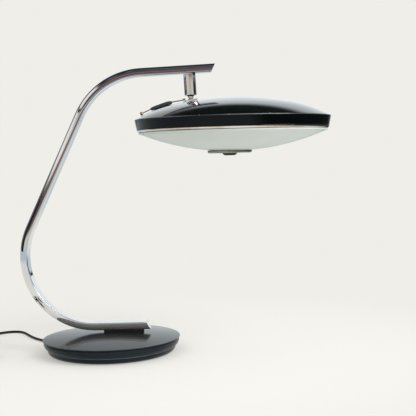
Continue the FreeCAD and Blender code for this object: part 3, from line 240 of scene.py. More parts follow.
def cast_enamel():
    """Satin enamel on cast iron, with its fine grain and a painted highlight along the line where the ring
    meets the weight.
    """
    paint = Finish("cast_enamel", Coat_Weight=0.15, Coat_Roughness=0.1, Coat_IOR=1.3, IOR=1.22)
    grain, cloud = paint.noise(900.0, 3.0, 0.6), paint.noise(22.0, 4.0)
    height = paint.along("Z")
    # A thin pale line along the ring's top edge: a painted highlight.
    edge = 1 - (height - (ring_height - 0.3) * MM).math("ABSOLUTE").above(0.0006, 0.0003)
    black = paint.blend(cloud.above(0.5, 0.2), (0.005, 0.0105, 0.0145), (0.010, 0.0175, 0.023))
    paint.set(Base_Color=paint.blend(edge * (0.4 + cloud), black, (0.15, 0.17, 0.18)))
    paint.set(Roughness=0.24 + cloud * 0.16)
    return paint.bump(grain * 0.7 + paint.noise(160.0, 2.0), 0.00006, 0.6)


def chrome():
    """Bright plating with wiping marks, pin pits and haze. Near the table it turns partly non-metallic,
    which paints a paler reflection onto the arm's foot.
    """
    metal = Finish("chrome", IOR=2.2)
    haze = metal.noise(14.0, 4.0)
    wipe = metal.noise(1.0, 4.0, at=metal.stretched((70.0, 900.0, 70.0)))
    pits = 1 - metal.cells(420.0).above(0.10, 0.03)
    pitted = pits * metal.noise(40.0, 2.0).above(0.60, 0.06)
    bright = metal.blend(haze.above(0.55, 0.25), (0.80, 0.80, 0.81), (0.70, 0.695, 0.69))
    metal.set(Base_Color=metal.blend(pitted * 0.8, bright, (0.16, 0.14, 0.12)))
    # Below about 75 mm the plating turns partly non-metallic: a painted paler reflection on the foot.
    low = 1 - metal.along("Z").above(0.075, 0.02)
    metal.set(Metallic=1.0 - low * (0.22 + haze * 0.2))
    metal.set(Roughness=0.035 + haze * 0.04 + wipe.above(0.6, 0.1) * 0.03 + pitted * 0.4)
    return metal.bump(metal.noise(26.0, 2.0) - pitted * 0.1, 0.00003, 0.15)


def painted_reflection_plate():
    """Bright plating with warm, patchy painted reflections, as on the ring under the shade."""
    metal = Finish("painted_reflection_plate", Metallic=1.0)
    patch, fine = metal.noise(11.0, 3.0), metal.noise(300.0, 3.0)
    # The warm tones are painted reflections, set in patches over the bright plate.
    warm_reflection = metal.blend(fine, (0.74, 0.62, 0.49), (0.58, 0.47, 0.36))
    metal.set(Base_Color=metal.blend(patch.above(0.47, 0.08), (0.80, 0.79, 0.77), warm_reflection))
    metal.set(Roughness=0.08 + fine * 0.12)
    return metal.bump(metal.noise(60.0, 2.0), 0.00003, 0.2)


def brushed(name, light, dark, rough=0.26):
    """Plain metal with fine upright marks and a slight cloud."""
    metal = Finish(name, Metallic=1.0)
    marks = metal.noise(1.0, 4.0, at=metal.stretched((900.0, 900.0, 20.0)))
    cloud = metal.noise(35.0, 4.0)
    metal.set(Base_Color=metal.blend((marks * 0.6 + cloud * 0.4).above(0.5, 0.2), light, dark))
    metal.set(Roughness=rough + marks * 0.14 + cloud * 0.06)
    return metal.bump(marks, 0.00004, 0.3)


def turned_nickel():
    """Nickel plate turned in rings about the knob's axis and tarnished to olive."""
    metal = Finish("turned_nickel", Metallic=1.0)
    turned = metal.node("ShaderNodeCombineXYZ", None, [metal.from_axis(rod_x) * 2600.0])
    rings, stain = metal.noise(1.0, 2.0, at=turned), metal.noise(45.0, 5.0)
    tone = metal.blend(stain.above(0.52, 0.18), (0.40, 0.40, 0.35), (0.24, 0.24, 0.19))
    metal.set(Base_Color=tone, Roughness=0.22 + rings * 0.2 + stain * 0.1)
    return metal.bump(rings, 0.00003, 0.35)


def frosted_glass():
    """Pressed and frosted glass, pale green with a greyer rim."""
    glass = Finish("frosted_glass", IOR=1.5, Coat_Weight=0.3, Coat_Roughness=0.12, Subsurface_Weight=0.25,
                   Subsurface_Radius=(0.02, 0.025, 0.02), Subsurface_Scale=0.3)
    cloud, grain = glass.noise(16.0, 4.0), glass.noise(1900.0, 2.0)
    middle = glass.blend(cloud.above(0.5, 0.25), (0.56, 0.63, 0.59), (0.52, 0.59, 0.555))
    rim = glass.from_axis(shade_x).above(0.13, 0.045)
    glass.set(Base_Color=glass.blend(rim, middle, (0.56, 0.615, 0.59)))
    glass.set(Roughness=0.38 + cloud * 0.12 + grain * 0.08)
    return glass.bump(grain * 0.4 + glass.noise(70.0, 2.0), 0.00004, 0.3)


def grip_rubber():
    """Matt black rubber with a fine grain, greyed in patches."""
    rubber = Finish("grip_rubber", Coat_Weight=0.15, Coat_Roughness=0.3)
    grain, cloud = rubber.noise(700.0, 3.0), rubber.noise(60.0, 4.0)
    rubber.set(Base_Color=rubber.blend(cloud, (0.022, 0.026, 0.026), (0.055, 0.063, 0.063)))
    rubber.set(Roughness=0.42 + cloud * 0.2)
    return rubber.bump(grain + cloud, 0.00008, 0.5)


def plastic(name, dark, light, rough, coat=0.2):
    """Moulded plastic with a fine grain, slightly patchy in tone and gloss."""
    body = Finish(name, Coat_Weight=coat, Coat_Roughness=0.15, IOR=1.4)
    grain, cloud = body.noise(1300.0, 3.0, 0.6), body.noise(28.0, 4.0)
    body.set(Base_Color=body.blend(cloud.above(0.5, 0.25), dark, light))
    body.set(Roughness=rough + cloud * 0.14 + grain * 0.06)
    return body.bump(grain, 0.00004, 0.5)


def felt():
    """Green felt of matted fibres."""
    cloth = Finish("felt", Sheen_Weight=0.4, Sheen_Roughness=0.6)
    fibre, lumps = cloth.noise(2600.0, 5.0, 0.7, distortion=1.5), cloth.noise(160.0, 3.0)
    cloth.set(Base_Color=cloth.blend(fibre, (0.012, 0.028, 0.016), (0.035, 0.07, 0.042)))
    cloth.set(Roughness=0.85 + lumps * 0.1)
    return cloth.bump(fibre + lumps, 0.0003, 0.8)


def blown_glass():
    """Opal bulb glass with a faint cloud in its coating."""
    glass = Finish("blown_glass", Coat_Weight=1.0, Coat_Roughness=0.05, IOR=1.5)
    cloud = glass.noise(40.0, 3.0)
    glass.set(Base_Color=glass.blend(cloud, (0.84, 0.83, 0.79), (0.9, 0.9, 0.87)))
    glass.set(Roughness=0.3 + cloud * 0.1)
    return glass.bump(cloud, 0.00005, 0.2)


# Shapes
def point(p):
    """A point in metres, from millimetres."""
    return Vector(p) * MM


def mesh_piece(name, points, faces, body, finish, sharp=32.0, frame_matrix=None):
    """A mesh piece of the lamp, from points in millimetres, that rides on a body."""
    mesh = bpy.data.meshes.new(name)
    mesh.from_pydata([point(p) for p in points], [], faces)
    if frame_matrix is not None:
        mesh.transform(frame_matrix)
    mesh.validate()
    mesh.update()
    mesh.shade_smooth()
    mesh.set_sharp_from_angle(angle=radians(sharp))
    obj = bpy.data.objects.new(name, mesh)
    bpy.context.scene.collection.objects.link(obj)
    mesh.materials.append(finish.material)
    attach(obj, body)
    return obj


def spread(start, end, steps):
    """Values from start to end in equal steps."""
    return [start + (end - start) * i / steps for i in range(steps + 1)]


def arc(centre, radius, start, end, steps):
    """Points of an arc between two angles in degrees."""
    turns = [radians(turn) for turn in spread(start, end, steps)]
    return [(centre[0] + radius * cos(a), centre[1] + radius * sin(a)) for a in turns]


def bulged(start, end, height, steps=10):
    """Points of an arc from start to end that stands out to the left of its chord."""
    dx, dz = end[0] - start[0], end[1] - start[1]
    chord = hypot(dx, dz)
    radius = (chord ** 2 / 4 + height ** 2) / (2 * height)
    middle = ((start[0] + end[0]) / 2, (start[1] + end[1]) / 2)
    out = (-dz / chord, dx / chord)
    centre = (middle[0] - out[0] * (radius - height), middle[1] - out[1] * (radius - height))
    a0 = atan2(start[1] - centre[1], start[0] - centre[0])
    a1 = atan2(end[1] - centre[1], end[0] - centre[0])
    turn = (a1 - a0 + pi) % (2 * pi) - pi
    return arc(centre, abs(radius), degrees(a0), degrees(a0 + turn), steps)


def softened(corners, steps=4):
    """A closed outline whose corners (x, z, radius) are rounded."""
    points = []
    for i, (x, z, radius) in enumerate(corners):
        before, after = corners[i - 1], corners[(i + 1) % len(corners)]
        a, b = Vector((before[0] - x, before[1] - z)), Vector((after[0] - x, after[1] - z))
        if radius <= 0 or a.length < 1e-6 or b.length < 1e-6:
            points.append((x, z))
            continue
        half = a.angle(b) / 2
        nearly_straight = half > pi / 2 - 0.02
        if nearly_straight:
            points.append((x, z))
            continue
        reach = min(radius / tan(half), 0.49 * a.length, 0.49 * b.length)
        start, end = Vector((x, z)) + a.normalized() * reach, Vector((x, z)) + b.normalized() * reach
        for k in range(steps + 1):
            t = k / steps
            p = start * (1 - t) ** 2 + Vector((x, z)) * 2 * t * (1 - t) + end * t ** 2
            points.append((p.x, p.y))
    return points


def unrounded(points):
    """Points of an outline as corners that stay sharp."""
    return [(x, z, 0) for x, z in points]


def lathe(name, outline, body, finish, centre=(0.0, 0.0, 0.0), segments=160, frame_matrix=None):
    """A closed outline of (distance, height) turned about a vertical axis."""
    points, faces, rings = [], [], []
    x, y, foot = centre
    turns = [2 * pi * i / segments for i in range(segments)]
    for r, z in outline:
        if r < 1e-6:
            rings.append([len(points)])
            points.append((x, y, foot + z))
        else:
            rings.append(list(range(len(points), len(points) + segments)))
            points += [(x + r * cos(turn), y + r * sin(turn), foot + z) for turn in turns]
    for k, ring in enumerate(rings):
        following = rings[(k + 1) % len(rings)]
        if len(ring) == 1 and len(following) == 1:
            continue
        for i in range(segments):
            j = (i + 1) % segments
            if len(ring) == 1:
                faces.append((ring[0], following[j], following[i]))
            elif len(following) == 1:
                faces.append((ring[i], ring[j], following[0]))
            else:
                faces.append((ring[i], ring[j], following[j], following[i]))
    obj = mesh_piece(name, points, faces, body, finish, frame_matrix=frame_matrix)
    flip_outward(obj)
    return obj


def flip_outward(obj):
    """Turns a closed mesh's faces to look outward."""
    mesh = obj.data
    volume = 0.0
    mesh.calc_loop_triangles()
    for triangle in mesh.loop_triangles:
        a, b, c = (mesh.vertices[i].co for i in triangle.vertices)
        volume += a.dot(b.cross(c))
    if volume < 0:
        mesh.flip_normals()
    mesh.update()


def rise(radius, across):
    """How far a circle rises above its centre at a distance across."""
    return sqrt(radius ** 2 - across ** 2)


def dome_line(centre, radius, start, end, steps):
    """Points on a sphere between two distances from its axis."""
    return [(r, centre + rise(radius, r)) for r in spread(start, end, steps)]


# Places that the pieces share
dome_radius = (cover_radius ** 2 + cover_rise ** 2) / (2 * cover_rise)
cover_apex = cover_edge_height + cover_rise
dome_centre = cover_apex - dome_radius


def arm_stations():
    """Points and headings along the arm's flat side, from its foot to its tip."""
    x, z, heading = arm_foot_end, arm_foot_height, 180.0
    stations = []

    def straight(length, cuts):
        """A straight part, with stations at these distances along it."""
        nonlocal x, z
        a = radians(heading)
        for d in cuts:
            stations.append((x + d * cos(a), z + d * sin(a), heading))
        x, z = x + length * cos(a), z + length * sin(a)

    def bend(radius, turn, steps):
        """A bend through a turn in degrees, to the left where it is positive."""
        nonlocal x, z, heading
        side = 1 if turn > 0 else -1
        a = radians(heading)
        cx, cz = x - side * radius * sin(a), z + side * radius * cos(a)

        def on_bend(way):
            """The point of the bend whose heading is this way."""
            return cx + side * radius * sin(radians(way)), cz - side * radius * cos(radians(way))

        for i in range(steps):
            h = heading + turn * i / steps
            stations.append((*on_bend(h), h))
        heading += turn
        x, z = on_bend(heading)

    straight(arm_foot_length, [0.0, 1.0, 14.0, 60.0])
    bend(arm_lower_bend, arm_slant - 180, 64)
    straight(arm_slant_length, [0.0, 60.0, 120.0, 180.0])
    bend(arm_upper_bend, arm_top_rise - arm_slant, 40)
    straight(arm_top_length, [0.0, 50.0, arm_top_length - 14.0, arm_top_length - 1.0, arm_top_length])
    return stations


stations = arm_stations()
tip = stations[-1]
top_way = (cos(radians(arm_top_rise)), sin(radians(arm_top_rise)))
neck_x = tip[0] - top_way[0] * (arm_top_length - neck_reach)
neck_z = tip[1] - top_way[1] * (arm_top_length - neck_reach)
neck_tilt = Matrix.Rotation(radians(-arm_top_rise), 4, "Y")
neck_frame = Matrix.Translation(point((neck_x, 0, neck_z))) @ neck_tilt
ball = neck_frame @ point((0, 0, -ball_drop))
ball_x, ball_z = ball.x / MM, ball.z / MM
shade_x = ball_x + shade_offset
shade_top = ball_z + ball_sink + crown_radius - rise(crown_radius, shade_offset)
rod_x = shade_x + rod_offset
crown_turn = crown_width / crown_radius
shoulder_x = crown_width - shoulder_radius * crown_turn
shoulder_z = -crown_radius + (crown_radius - shoulder_radius) * sqrt(1 - crown_turn ** 2)
rim_height = shade_top + shoulder_z + rise(shoulder_radius, shade_radius - shoulder_x)
shade_centre = (shade_x, 0.0, shade_top)
band_foot = rim_height - shade_top - band_height
trim_top = band_foot - band_gap
trim_foot = trim_top - trim_height
disc_foot = -glass_depth - disc_thickness
rod_centre = (rod_x, 0.0, shade_top)


# Base
def base_cover(finish):
    """The domed cover, a thin sheet with a small lip."""
    inner = dome_radius - cover_sheet
    edge = cover_radius - cover_sheet
    lip = cover_edge_height - cover_lip
    outline = dome_line(dome_centre, dome_radius, 0.0, edge, 48)
    outline += softened([(edge, dome_centre + rise(dome_radius, edge), 0),
                         (cover_radius, cover_edge_height, 0.5), (cover_radius, lip, 0.25),
                         (edge, lip, 0.25), (edge, dome_centre + rise(inner, edge), 0)])[1:]
    outline += dome_line(dome_centre, inner, edge - 1, 0.0, 20)
    return lathe("dressed_base_cover", outline, "stand", finish, segments=256)


def base_weight(finish):
    """The weight under the cover, with a bulged side."""
    top = dome_radius - cover_sheet - seat_gap
    neck = weight_radius - weight_groove_depth
    outline = dome_line(dome_centre, top, 0.0, neck, 12)
    side = bulged((weight_radius, weight_shoulder), (weight_waist, ring_height), weight_bulge, 14)
    outline += softened([(neck, dome_centre + rise(top, neck), 0), (neck, weight_shoulder, 0),
                         (weight_radius, weight_shoulder, 0.5)] + unrounded(side[1:]))[1:]
    outline += [(plate_radius, ring_height), (0.0, ring_height)]
    return lathe("dressed_base_weight", outline, "stand", finish, segments=220)


def foot_ring(finish):
    """The lower ring, stepped inside for the felt and the bottom plate."""
    edge = ring_height - ring_edge
    side = bulged((ring_radius, edge), (ring_foot_radius, ring_foot), ring_bulge, 14)
    outline = softened([(ring_bore, ring_height, 0), (ring_radius - ring_edge, ring_height, 0.25),
                        (ring_radius, edge, 0)] + unrounded(side[1:-1])
                       + [(ring_foot_radius, ring_foot, 0.3), (felt_seat_radius, ring_foot, 0),
                          (felt_seat_radius, felt_top, 0), (plate_seat_radius, felt_top, 0),
                          (plate_seat_radius, plate_top, 0), (ring_bore, plate_top, 0)])
    return lathe("dressed_foot_ring", outline, "stand", finish, segments=220)


# Arm
def arm_section(inset, steps=40):
    """The half-round section as (across, depth) points, drawn in by an inset."""
    outer, corner = arm_radius - inset, max(arm_edge_radius - inset, 0.3)
    side = sqrt((outer - corner) ** 2 - (inset + corner) ** 2)
    scale = outer / (outer - corner)
    end = degrees(atan2((inset + corner) * scale, side * scale))
    turns = [radians((90 + end) * i / 6) for i in range(6)]
    right = [(side + corner * sin(turn), inset + corner - corner * cos(turn)) for turn in turns]
    belly = arc((0, 0), outer, end, 180 - end, steps)
    left = [(-x, d) for x, d in reversed(right)]
    flat = [(-side + 2 * side * i / 8, inset) for i in range(1, 8)]
    return right + belly + left + flat


def arm_tube(finish):
    """The bent half-round tube, cut on a slant at both ends, with an open rim that its caps fill."""
    outer, inner = arm_section(0.0), arm_section(arm_wall)
    count = len(outer)
    slope = tan(radians(arm_end_slope))
    points, loops = [], []

    def ring(section, station, back=0.0, slanted=0):
        """A loop of the tube. At an end it slants and lies back from the end by a distance."""
        x, z, heading = station
        a = radians(heading)
        loops.append(len(points))
        for across, depth in section:
            shift = slanted * ((arm_radius - depth) * slope + back)
            points.append((x + shift * cos(a) - depth * sin(a), across, z + shift * sin(a) + depth * cos(a)))

    mouth, lip = arm_section(arm_wall - 0.2), arm_section(0.25)
    rim = [(inner, arm_rim_depth), (inner, 0.15), (mouth, 0.0), (lip, 0.0), (outer, 0.25)]
    for section, back in rim:
        ring(section, stations[0], back, 1)
    for station in stations[2:-2]:
        ring(outer, station)
    for section, back in reversed(rim):
        ring(section, stations[-1], back, -1)
    faces = []
    for near, far in zip(loops, loops[1:]):
        for i in range(count):
            j = (i + 1) % count
            faces.append((near + i, near + j, far + j, far + i))
    faces.append(tuple(loops[0] + i for i in reversed(range(count))))
    faces.append(tuple(loops[-1] + i for i in range(count)))
    obj = mesh_piece("dressed_arm", points, faces, "stand", finish, 40.0)
    flip_outward(obj)
    return obj


# Neck and ball joint
def neck_sleeve(finish):
    """The neck's sleeve, recessed a little at its lower end."""
    top, foot, wide = -neck_washer - hairline, -neck_length, neck_diameter / 2
    outline = softened([(0.0, top, 0), (wide, top, 0.6), (wide, foot, 0.6), (wide - 1.6, foot, 0.2),
                        (wide - 2.3, foot + 1.2, 0), (0.0, foot + 1.2, 0)], 6)
    return lathe("dressed_neck_sleeve", outline, "neck", finish, segments=96,
                 frame_matrix=neck_frame)


def ball_stud(finish):
    """The stud's collar, its shank and the ball."""
    seat = -neck_length - groove_washer_height
    low = seat - collar_height
    stud, collar = stud_diameter / 2, collar_diameter / 2
    start = degrees(acos(stud / ball_radius))
    sphere = arc((0, -ball_drop), ball_radius, start, -90, 30)
    outline = softened([(0.0, seat, 0), (collar, seat, 0.4), (collar, low, 0.5), (stud, low, 0)], 4)
    outline += [(r, z) for r, z in sphere[:-1]] + [(0.0, -ball_drop - ball_radius)]
    return lathe("dressed_ball_stud", outline, "neck", finish, segments=96,
                 frame_matrix=neck_frame)


# Shade
def shade_wall(inset):
    """Points of the shade's wall from its top to its rim, drawn in by an inset."""
    crown, shoulder, rim = crown_radius - inset, shoulder_radius - inset, shade_radius - inset
    line = dome_line(-crown_radius, crown, 0.0, crown * crown_turn, 40)
    across = spread(crown * crown_turn, rim, 30)[1:]
    return line + [(r, shoulder_z + rise(shoulder, r - shoulder_x)) for r in across]


def shade_dome(finish):
    """The spun shade: its crown, the band below it and a small bead along the band's foot."""
    outer, inner = shade_wall(0.0), shade_wall(shade_sheet)
    bead = [(band_foot_radius + 0.25, band_foot + 1.6, 0.6), (band_foot_radius + 0.45, band_foot + 0.9, 0.5),
            (band_foot_radius + 0.1, band_foot, 0.4), (band_foot_radius - shade_sheet, band_foot, 0.4)]
    outline = softened(unrounded(outer[:-1]) + [(*outer[-1], 1.6)] + bead
                       + [(*inner[-1], 1.0)] + unrounded(reversed(inner[:-1])), 6)
    return lathe("dressed_shade", outline, "head", finish, centre=shade_centre,
                 segments=320)


def trim_ring(finish):
    """The ring under the shade, with a collar inside the band and a flange for the glass."""
    outside = band_foot_radius - shade_sheet - band_gap
    inside, collar_top, flange_top = outside - trim_sheet, trim_top + trim_collar, trim_foot + trim_sheet
    side = bulged((trim_radius, trim_top), (trim_foot_radius, trim_foot), 0.6, 8)
    outline = softened([(inside, collar_top, 0), (outside, collar_top, 0), (outside, trim_top, 0),
                        (trim_radius, trim_top, 0.3)] + unrounded(side[1:-1])
                       + [(trim_foot_radius, trim_foot, 0.4), (trim_flange_radius, trim_foot, 0.3),
                          (trim_flange_radius, flange_top, 0.3), (inside, flange_top, 0)])
    return lathe("dressed_trim_ring", outline, "head", finish, centre=shade_centre,
                 segments=256)


def glass_dish(finish):
    """A pressed glass dish with a flat flange round its edge."""
    centre, inner = glass_radius - glass_depth, glass_radius - glass_thickness
    top = trim_foot - glass_drop
    foot, inner_edge = top - glass_edge, glass_width - 1.5
    outer = [(r, centre - rise(glass_radius, r)) for r in spread(glass_hole, glass_width, 60)]
    inside = [(r, centre - rise(inner, r)) for r in spread(glass_hole, inner_edge, 40)]
    flange = [(glass_width, foot, 0.3), (glass_flange, foot, 0.5), (glass_flange, top, 0.5),
              (inner_edge, top, 0)]
    outline = softened([(*outer[0], 0.4)] + unrounded(outer[1:-1]) + [(*outer[-1], 0.5)] + flange
                       + unrounded(reversed(inside)))
    return lathe("dressed_glass", outline, "diffuser", finish, centre=shade_centre,
                 segments=256)


def glass_disc(finish):
    """The plate under the glass, with a rolled edge and a shallow turned step."""
    foot, step, hollow = disc_foot, disc_foot + disc_step_depth, disc_foot + disc_hollow_depth
    centre = glass_radius - glass_depth
    top = centre - rise(glass_radius + 0.4, disc_radius - rod_offset)
    outline = softened([(disc_bore, foot, 0), (disc_step_start, foot, 0.2),
                        (disc_step_start + 1.0, step, 0.2), (disc_step_end - 1.0, step, 0.2),
                        (disc_step_end, foot, 0.2), (disc_radius - 2.2, foot, 1.8),
                        (disc_radius, foot + 1.6, 1.2), (disc_radius, top - 0.9, 0.6),
                        (disc_radius - 1.0, top - 0.3, 0.3), (disc_hollow_radius, hollow, 0),
                        (disc_bore, hollow, 0)], 5)
    return lathe("dressed_disc", outline, "diffuser", finish, centre=rod_centre)


def knob(finish):
    """The fluted knob, rounded below, with the boss that goes up into the plate."""
    top = disc_foot - hairline
    foot, boss, bore_end = top - knob_height, top + knob_boss_height, top - knob_bore_depth
    outline = softened([(0.0, foot, 0), (knob_radius - 3.4, foot, 2.2), (knob_radius, top - 1.0, 1.4),
                        (knob_radius, top, 0.3), (knob_boss_radius, top, 0), (knob_boss_radius, boss, 0),
                        (knob_bore, boss, 0), (knob_bore, bore_end, 0), (0.0, bore_end, 0)], 5)
    obj = lathe("dressed_knob", outline, "knob", finish, centre=rod_centre, segments=288)
    for vertex in obj.data.vertices:
        across = Vector((vertex.co.x - rod_x * MM, vertex.co.y))
        if across.length > (knob_radius - 2.5) * MM:
            wave = 0.5 - 0.5 * cos(knob_flutes * atan2(across.y, across.x))
            across *= 1 - knob_flute_depth * MM * wave ** 2 / across.length
            vertex.co.x, vertex.co.y = across.x + rod_x * MM, across.y
    return obj


# Handle
def handle_grip(finish):
    """The grip, drawn in towards both of its ends."""
    along = Vector(grip_end) - Vector(grip_start)
    place = Matrix.Translation(point(grip_start)) @ along.to_track_quat("Z", "Y").to_matrix().to_4x4()
    end = along.length
    outline = softened([(grip_bore, 0.0, 0), (1.9, 0.0, 0.4), (3.0, 2.2, 1.5), (3.95, 8.0, 5.0),
                        (3.9, 18.0, 5.0), (3.5, end - 9.0, 5.0), (2.8, end - 2.4, 1.5), (1.7, end, 0.4),
                        (grip_bore, end, 0)], 6)
    return lathe("dressed_grip", outline, "head", finish, segments=64, frame_matrix=place)


# Cord: one line from the base, through the switch and round the coil, to the plug
def cord_route():
    """Points of the cord's line, in millimetres."""
    way = (cos(radians(cord_azimuth)), sin(radians(cord_azimuth)))
    low = cord_diameter / 2 + hairline
    start, straight = ring_radius - 4.0, ring_radius + relief_length + cord_straight
    lead = [(way[0] * r, way[1] * r, cord_height) for r in (start, start + cord_straight, straight)]
    lead += [(x, y, low) for x, y in cord_way_points]
    reach = cord_turn_radius / cos(radians(cord_turn / cord_turn_points / 2))
    for i in range(cord_turn_points):
        a = radians(cord_turn_end - cord_turn * (1 - (i + 0.5) / cord_turn_points))
        lead.append((cord_turn_x + reach * cos(a), cord_turn_y + reach * sin(a), low))
    lead.append((switch_x, switch_y + switch_length / 2 + cord_straight, switch_split))
    middle = [(switch_x, switch_y, switch_split)] + middle_points
    outer = coil_mean_radius + coil_pitch * coil_loops / 2
    coil = [(coil_x - outer, coil_y + coil_lead, low)]
    per_turn = 24
    for i in range(per_turn * coil_loops * coil_layers + 1):
        turns = i / per_turn
        part = (turns / coil_loops) % 2
        radius = outer - coil_pitch * coil_loops * (part if part <= 1 else 2 - part)
        height = low
        for k in range(1, coil_layers):
            climbed = (turns - k * coil_loops) / coil_climb_turns + 0.5
            height += coil_layer_pitch * min(max(climbed, 0), 1)
        a = pi + 2 * pi * turns
        coil.append((coil_x + radius * cos(a), coil_y + radius * sin(a), height))
    top = coil[-1]
    coil.append((top[0], top[1] - coil_lead, top[2]))
    return lead + middle + coil + end_points


def mains_cord(finish):
    """The whole cord as one curve, which runs on through the switch."""
    route = cord_route()
    curve = bpy.data.curves.new("mains_cord", "CURVE")
    curve.dimensions = "3D"
    curve.bevel_depth = cord_diameter / 2 * MM
    curve.bevel_resolution = 5
    curve.resolution_u = 4
    curve.use_fill_caps = True
    spline = curve.splines.new("NURBS")
    spline.points.add(len(route) - 1)
    for target, p in zip(spline.points, route):
        target.co = (*point(p), 1.0)
    spline.order_u = 3
    spline.use_endpoint_u = True
    obj = bpy.data.objects.new("mains_cord", curve)
    bpy.context.scene.collection.objects.link(obj)
    curve.materials.append(finish.material)
    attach(obj, "stand")
    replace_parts(obj, "cord_lead", "cord_middle", "cord_coil", "cord_end")


# Stage
class Sky(Finish):
    """The world around the lamp."""

    def __init__(self, world):
        self.tree = world.node_tree
        self.shader = self.tree.nodes["Background"]


def set_camera():
    """Looks along +Y, a little down and rolled a little to one side."""
    level, climb = Vector((1, 0, 0)), Vector((0, sin(camera_tilt), cos(camera_tilt)))
    right = level * cos(camera_roll) - climb * sin(camera_roll)
    up = level * sin(camera_roll) + climb * cos(camera_roll)
    back = Vector((0, -cos(camera_tilt), sin(camera_tilt)))
    place = Matrix((right, up, back)).transposed().to_4x4()
    place.translation = Vector(camera_place)
    data = bpy.data.cameras.new("camera")
    data.lens, data.sensor_width = camera_lens, camera_sensor
    camera = bpy.data.objects.new("camera", data)
    camera.matrix_world = place
    bpy.context.scene.collection.objects.link(camera)
    bpy.context.scene.camera = camera


def set_world():
    """The backdrop, an even light and the room that the chrome mirrors."""
    world = bpy.context.scene.world or bpy.data.worlds.new("studio")
    bpy.context.scene.world = world
    world.use_nodes = True
    sky = Sky(world)
    way = sky.node("ShaderNodeTexCoord", output="Generated")
    side, ahead, height = (sky.node("ShaderNodeSeparateXYZ", None, [way], output=axis) for axis in "XYZ")
    left, aside = 0 - side, side.math("ABSOLUTE")
    front = 1 - ahead.above(-0.2, 0.1)
    dark_green = (0.018, 0.021, 0.021)

    # Near the horizon: cream behind the camera with a dark line, dim elsewhere, dark at the far right
    cream = sky.blend(aside.between(0.10, 0.17, 0.02), (0.72, 0.69, 0.60), (0.20, 0.18, 0.15))
    low = sky.blend(front, (0.10, 0.085, 0.085), cream)
    low = sky.blend(side.above(0.88, 0.05), low, (0.03, 0.03, 0.03))

    # Overhead: a dark ceiling with streaks, brown behind the camera and slate above the lamp
    flat = sky.node("ShaderNodeMapping", None, {"Vector": way, "Scale": (1.0, 1.0, 6.0)})
    streaks = sky.node("ShaderNodeTexNoise", None, {"Vector": flat, "Scale": 2.2, "Detail": 2.0})
    tint = sky.blend(ahead.above(-0.45, 0.2), (0.24, 0.165, 0.145), (0.14, 0.155, 0.20))
    room = sky.blend(streaks.above(0.50, 0.12), (0.045, 0.043, 0.05), tint)
    room = sky.blend(ahead.above(0.10, 0.08), room, dark_green)
    room = sky.blend(side.above(0.8, 0.1), room, (0.45, 0.52, 0.62))
    around = sky.blend(height.above(0.16, 0.06), low, room)
    around = sky.blend(front * height.between(0.31, 0.37, 0.015), around, (0.75, 0.75, 0.78))

    # To the left: a dark wall with two rows of windows
    windows = height.between(0.335, 0.43, 0.012) + height.between(0.48, 0.75, 0.02)
    wall = sky.blend(windows, (0.02, 0.02, 0.022), (0.95, 0.94, 0.93))
    around = sky.blend(left.above(0.62, 0.1) * ahead.above(-0.32, 0.06), around, wall)

    # Ahead: a dim room, dark above, and a pale panel that the dome and the foot mirror
    far = ahead.above(0.45, 0.1)
    around = sky.blend(far, around, (0.20, 0.19, 0.20))
    around = sky.blend(far * height.above(0.5, 0.1), around, dark_green)
    panel = (1 - side.above(0.34, 0.08)) * (1 - left.above(0.25, 0.18)) * ahead.above(0.62, 0.1)
    panel = panel * (1 - height.above(0.58, 0.07))
    around = sky.blend(panel, around, (0.88, 0.95, 0.98))

    # Only mirrored rays see this room. The camera sees the backdrop, and all else gets an even light
    lit = sky.blend(sky.ray("Glossy", "Transmission"), (0.88, 0.88, 0.87), around)
    sky.set(Color=sky.blend(sky.ray("Camera"), lit, backdrop), Strength=1.0)


def floor():
    """A pale table that fades into the backdrop and keeps the lamp's shadow.

    Mirrored rays find it bluer far away and dark far to the right."""
    table = Finish("floor", Roughness=0.9, Specular_IOR_Level=0.0, Emission_Strength=1.0)
    mirrored = table.ray("Glossy", "Transmission")
    seen = mirrored.math("MAXIMUM", table.ray("Camera"))
    away, right = table.from_axis(0.0), table.along("X")
    glow = seen * (1 - (1 - away.above(0.55, 0.3)) * 0.62)
    black = (0.0, 0.0, 0.0)
    tone = table.blend(mirrored * away.above(1.4, 0.4), backdrop, (0.56, 0.65, 0.73))
    tone = table.blend(mirrored * right.above(0.9, 0.3), tone, (0.03, 0.035, 0.035))
    table.set(Emission_Color=table.blend(glow, black, tone))
    table.set(Base_Color=table.blend(1 - glow, black, floor_albedo))
    reach = floor_reach
    outline = [(-reach, -reach, 0), (reach, -reach, 0), (reach, reach, 0), (-reach, reach, 0)]
    mesh = bpy.data.meshes.new("floor")
    mesh.from_pydata(outline, [], [(0, 1, 2, 3)])
    mesh.materials.append(table.material)
    obj = bpy.data.objects.new("floor", mesh)
    bpy.context.scene.collection.objects.link(obj)


def lamp(name, place, target, size, power):
    """A rectangular light that looks at a target."""
    data = bpy.data.lights.new(name, "AREA")
    data.shape = "RECTANGLE"
    data.size, data.size_y = size
    data.energy = power
    obj = bpy.data.objects.new(name, data)
    obj.location = place
    obj.rotation_euler = (Vector(target) - Vector(place)).to_track_quat("-Z", "Y").to_euler()
    bpy.context.scene.collection.objects.link(obj)


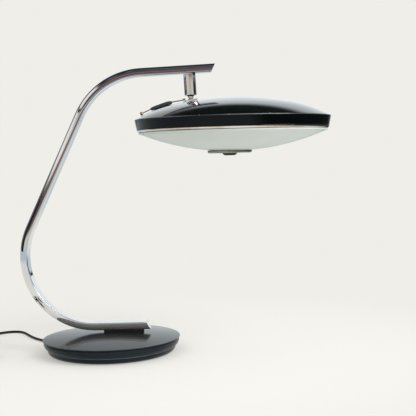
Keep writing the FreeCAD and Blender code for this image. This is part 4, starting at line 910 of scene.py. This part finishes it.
# The lamp is dressed
lacquer, dome_paint, enamel, plate = black_lacquer(), shade_lacquer(), cast_enamel(), chrome()
ring_plate = painted_reflection_plate()
nickel, glass, grip = turned_nickel(), frosted_glass(), grip_rubber()
zinc = brushed("zinc", (0.55, 0.56, 0.57), (0.38, 0.39, 0.41))
dark_metal = brushed("dark_metal", (0.055, 0.055, 0.05), (0.025, 0.025, 0.022), rough=0.3)
brass = brushed("brass", (0.66, 0.54, 0.41), (0.48, 0.38, 0.28), rough=0.32)
cord_finish = plastic("cord_sheath", (0.003, 0.0035, 0.004), (0.008, 0.009, 0.0095), 0.36, coat=0.1)
case = plastic("switch_plastic", (0.004, 0.0045, 0.005), (0.010, 0.011, 0.012), 0.3)
ceramic = plastic("ceramic", (0.70, 0.69, 0.65), (0.62, 0.61, 0.57), 0.25, coat=0.6)
seal = plastic("seal_rubber", (0.02, 0.02, 0.02), (0.035, 0.034, 0.032), 0.5)
cloth, opal = felt(), blown_glass()

dressed = [
    (base_cover, lacquer, ["base_cover"]), (base_weight, enamel, ["base_weight"]),
    (foot_ring, enamel, ["foot_ring"]), (arm_tube, plate, ["arm_tube"]),
    (neck_sleeve, plate, ["neck_sleeve"]), (ball_stud, plate, ["ball_stud"]),
    (shade_dome, dome_paint, ["shade_dome"]), (trim_ring, ring_plate, ["trim_ring"]),
    (glass_dish, glass, ["diffuser_glass"]), (glass_disc, nickel, ["diffuser_disc"]),
    (handle_grip, grip, ["handle_grip"]), (knob, dark_metal, ["diffuser_knob"]),
]
for make, finish, stands_for in dressed:
    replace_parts(make(finish), *stands_for)
mains_cord(cord_finish)

finishes = {
    plate: ["arm_foot_cap", "arm_tip_cap", "neck_washer", "socket_ring"],
    ring_plate: ["handle_rod"],
    zinc: ["bottom_plate", "bottom_screws", "arm_bolts", "bolt_washers", "foot_nuts", "neck_anchor",
           "terminal_screws", "cord_clamp", "clamp_screws", "neck_nipple", "neck_spring_washer",
           "neck_lock_nut", "neck_plug", "stud_nut", "socket_cup", "lamp_bridge", "centre_rod", "rod_nuts"],
    nickel: ["bulb_caps", "plug_pins"],
    dark_metal: ["foot_saddle", "groove_washer"],
    brass: ["handle_ball"],
    cord_finish: ["strain_relief", "inner_lead"],
    case: ["switch_base", "switch_cover", "switch_rocker", "switch_inner_parts", "plug_body"],
    ceramic: ["terminal_block", "lamp_holders"],
    seal: ["glass_seal", "cable_bush", "arm_cable", "head_cable", "ball_liner"],
    opal: ["bulbs"],
    cloth: ["felt_pad"],
}
for finish, names in finishes.items():
    for name in names:
        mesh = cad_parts[name].data
        mesh.materials.clear()
        mesh.materials.append(finish.material)

set_camera()
set_world()
floor()
lamp("key", place=(1.9, -1.2, 1.9), target=(0.1, 0.0, 0.2), size=(1.8, 1.8), power=48.0)

bpy.context.scene.view_settings.view_transform = "Standard"
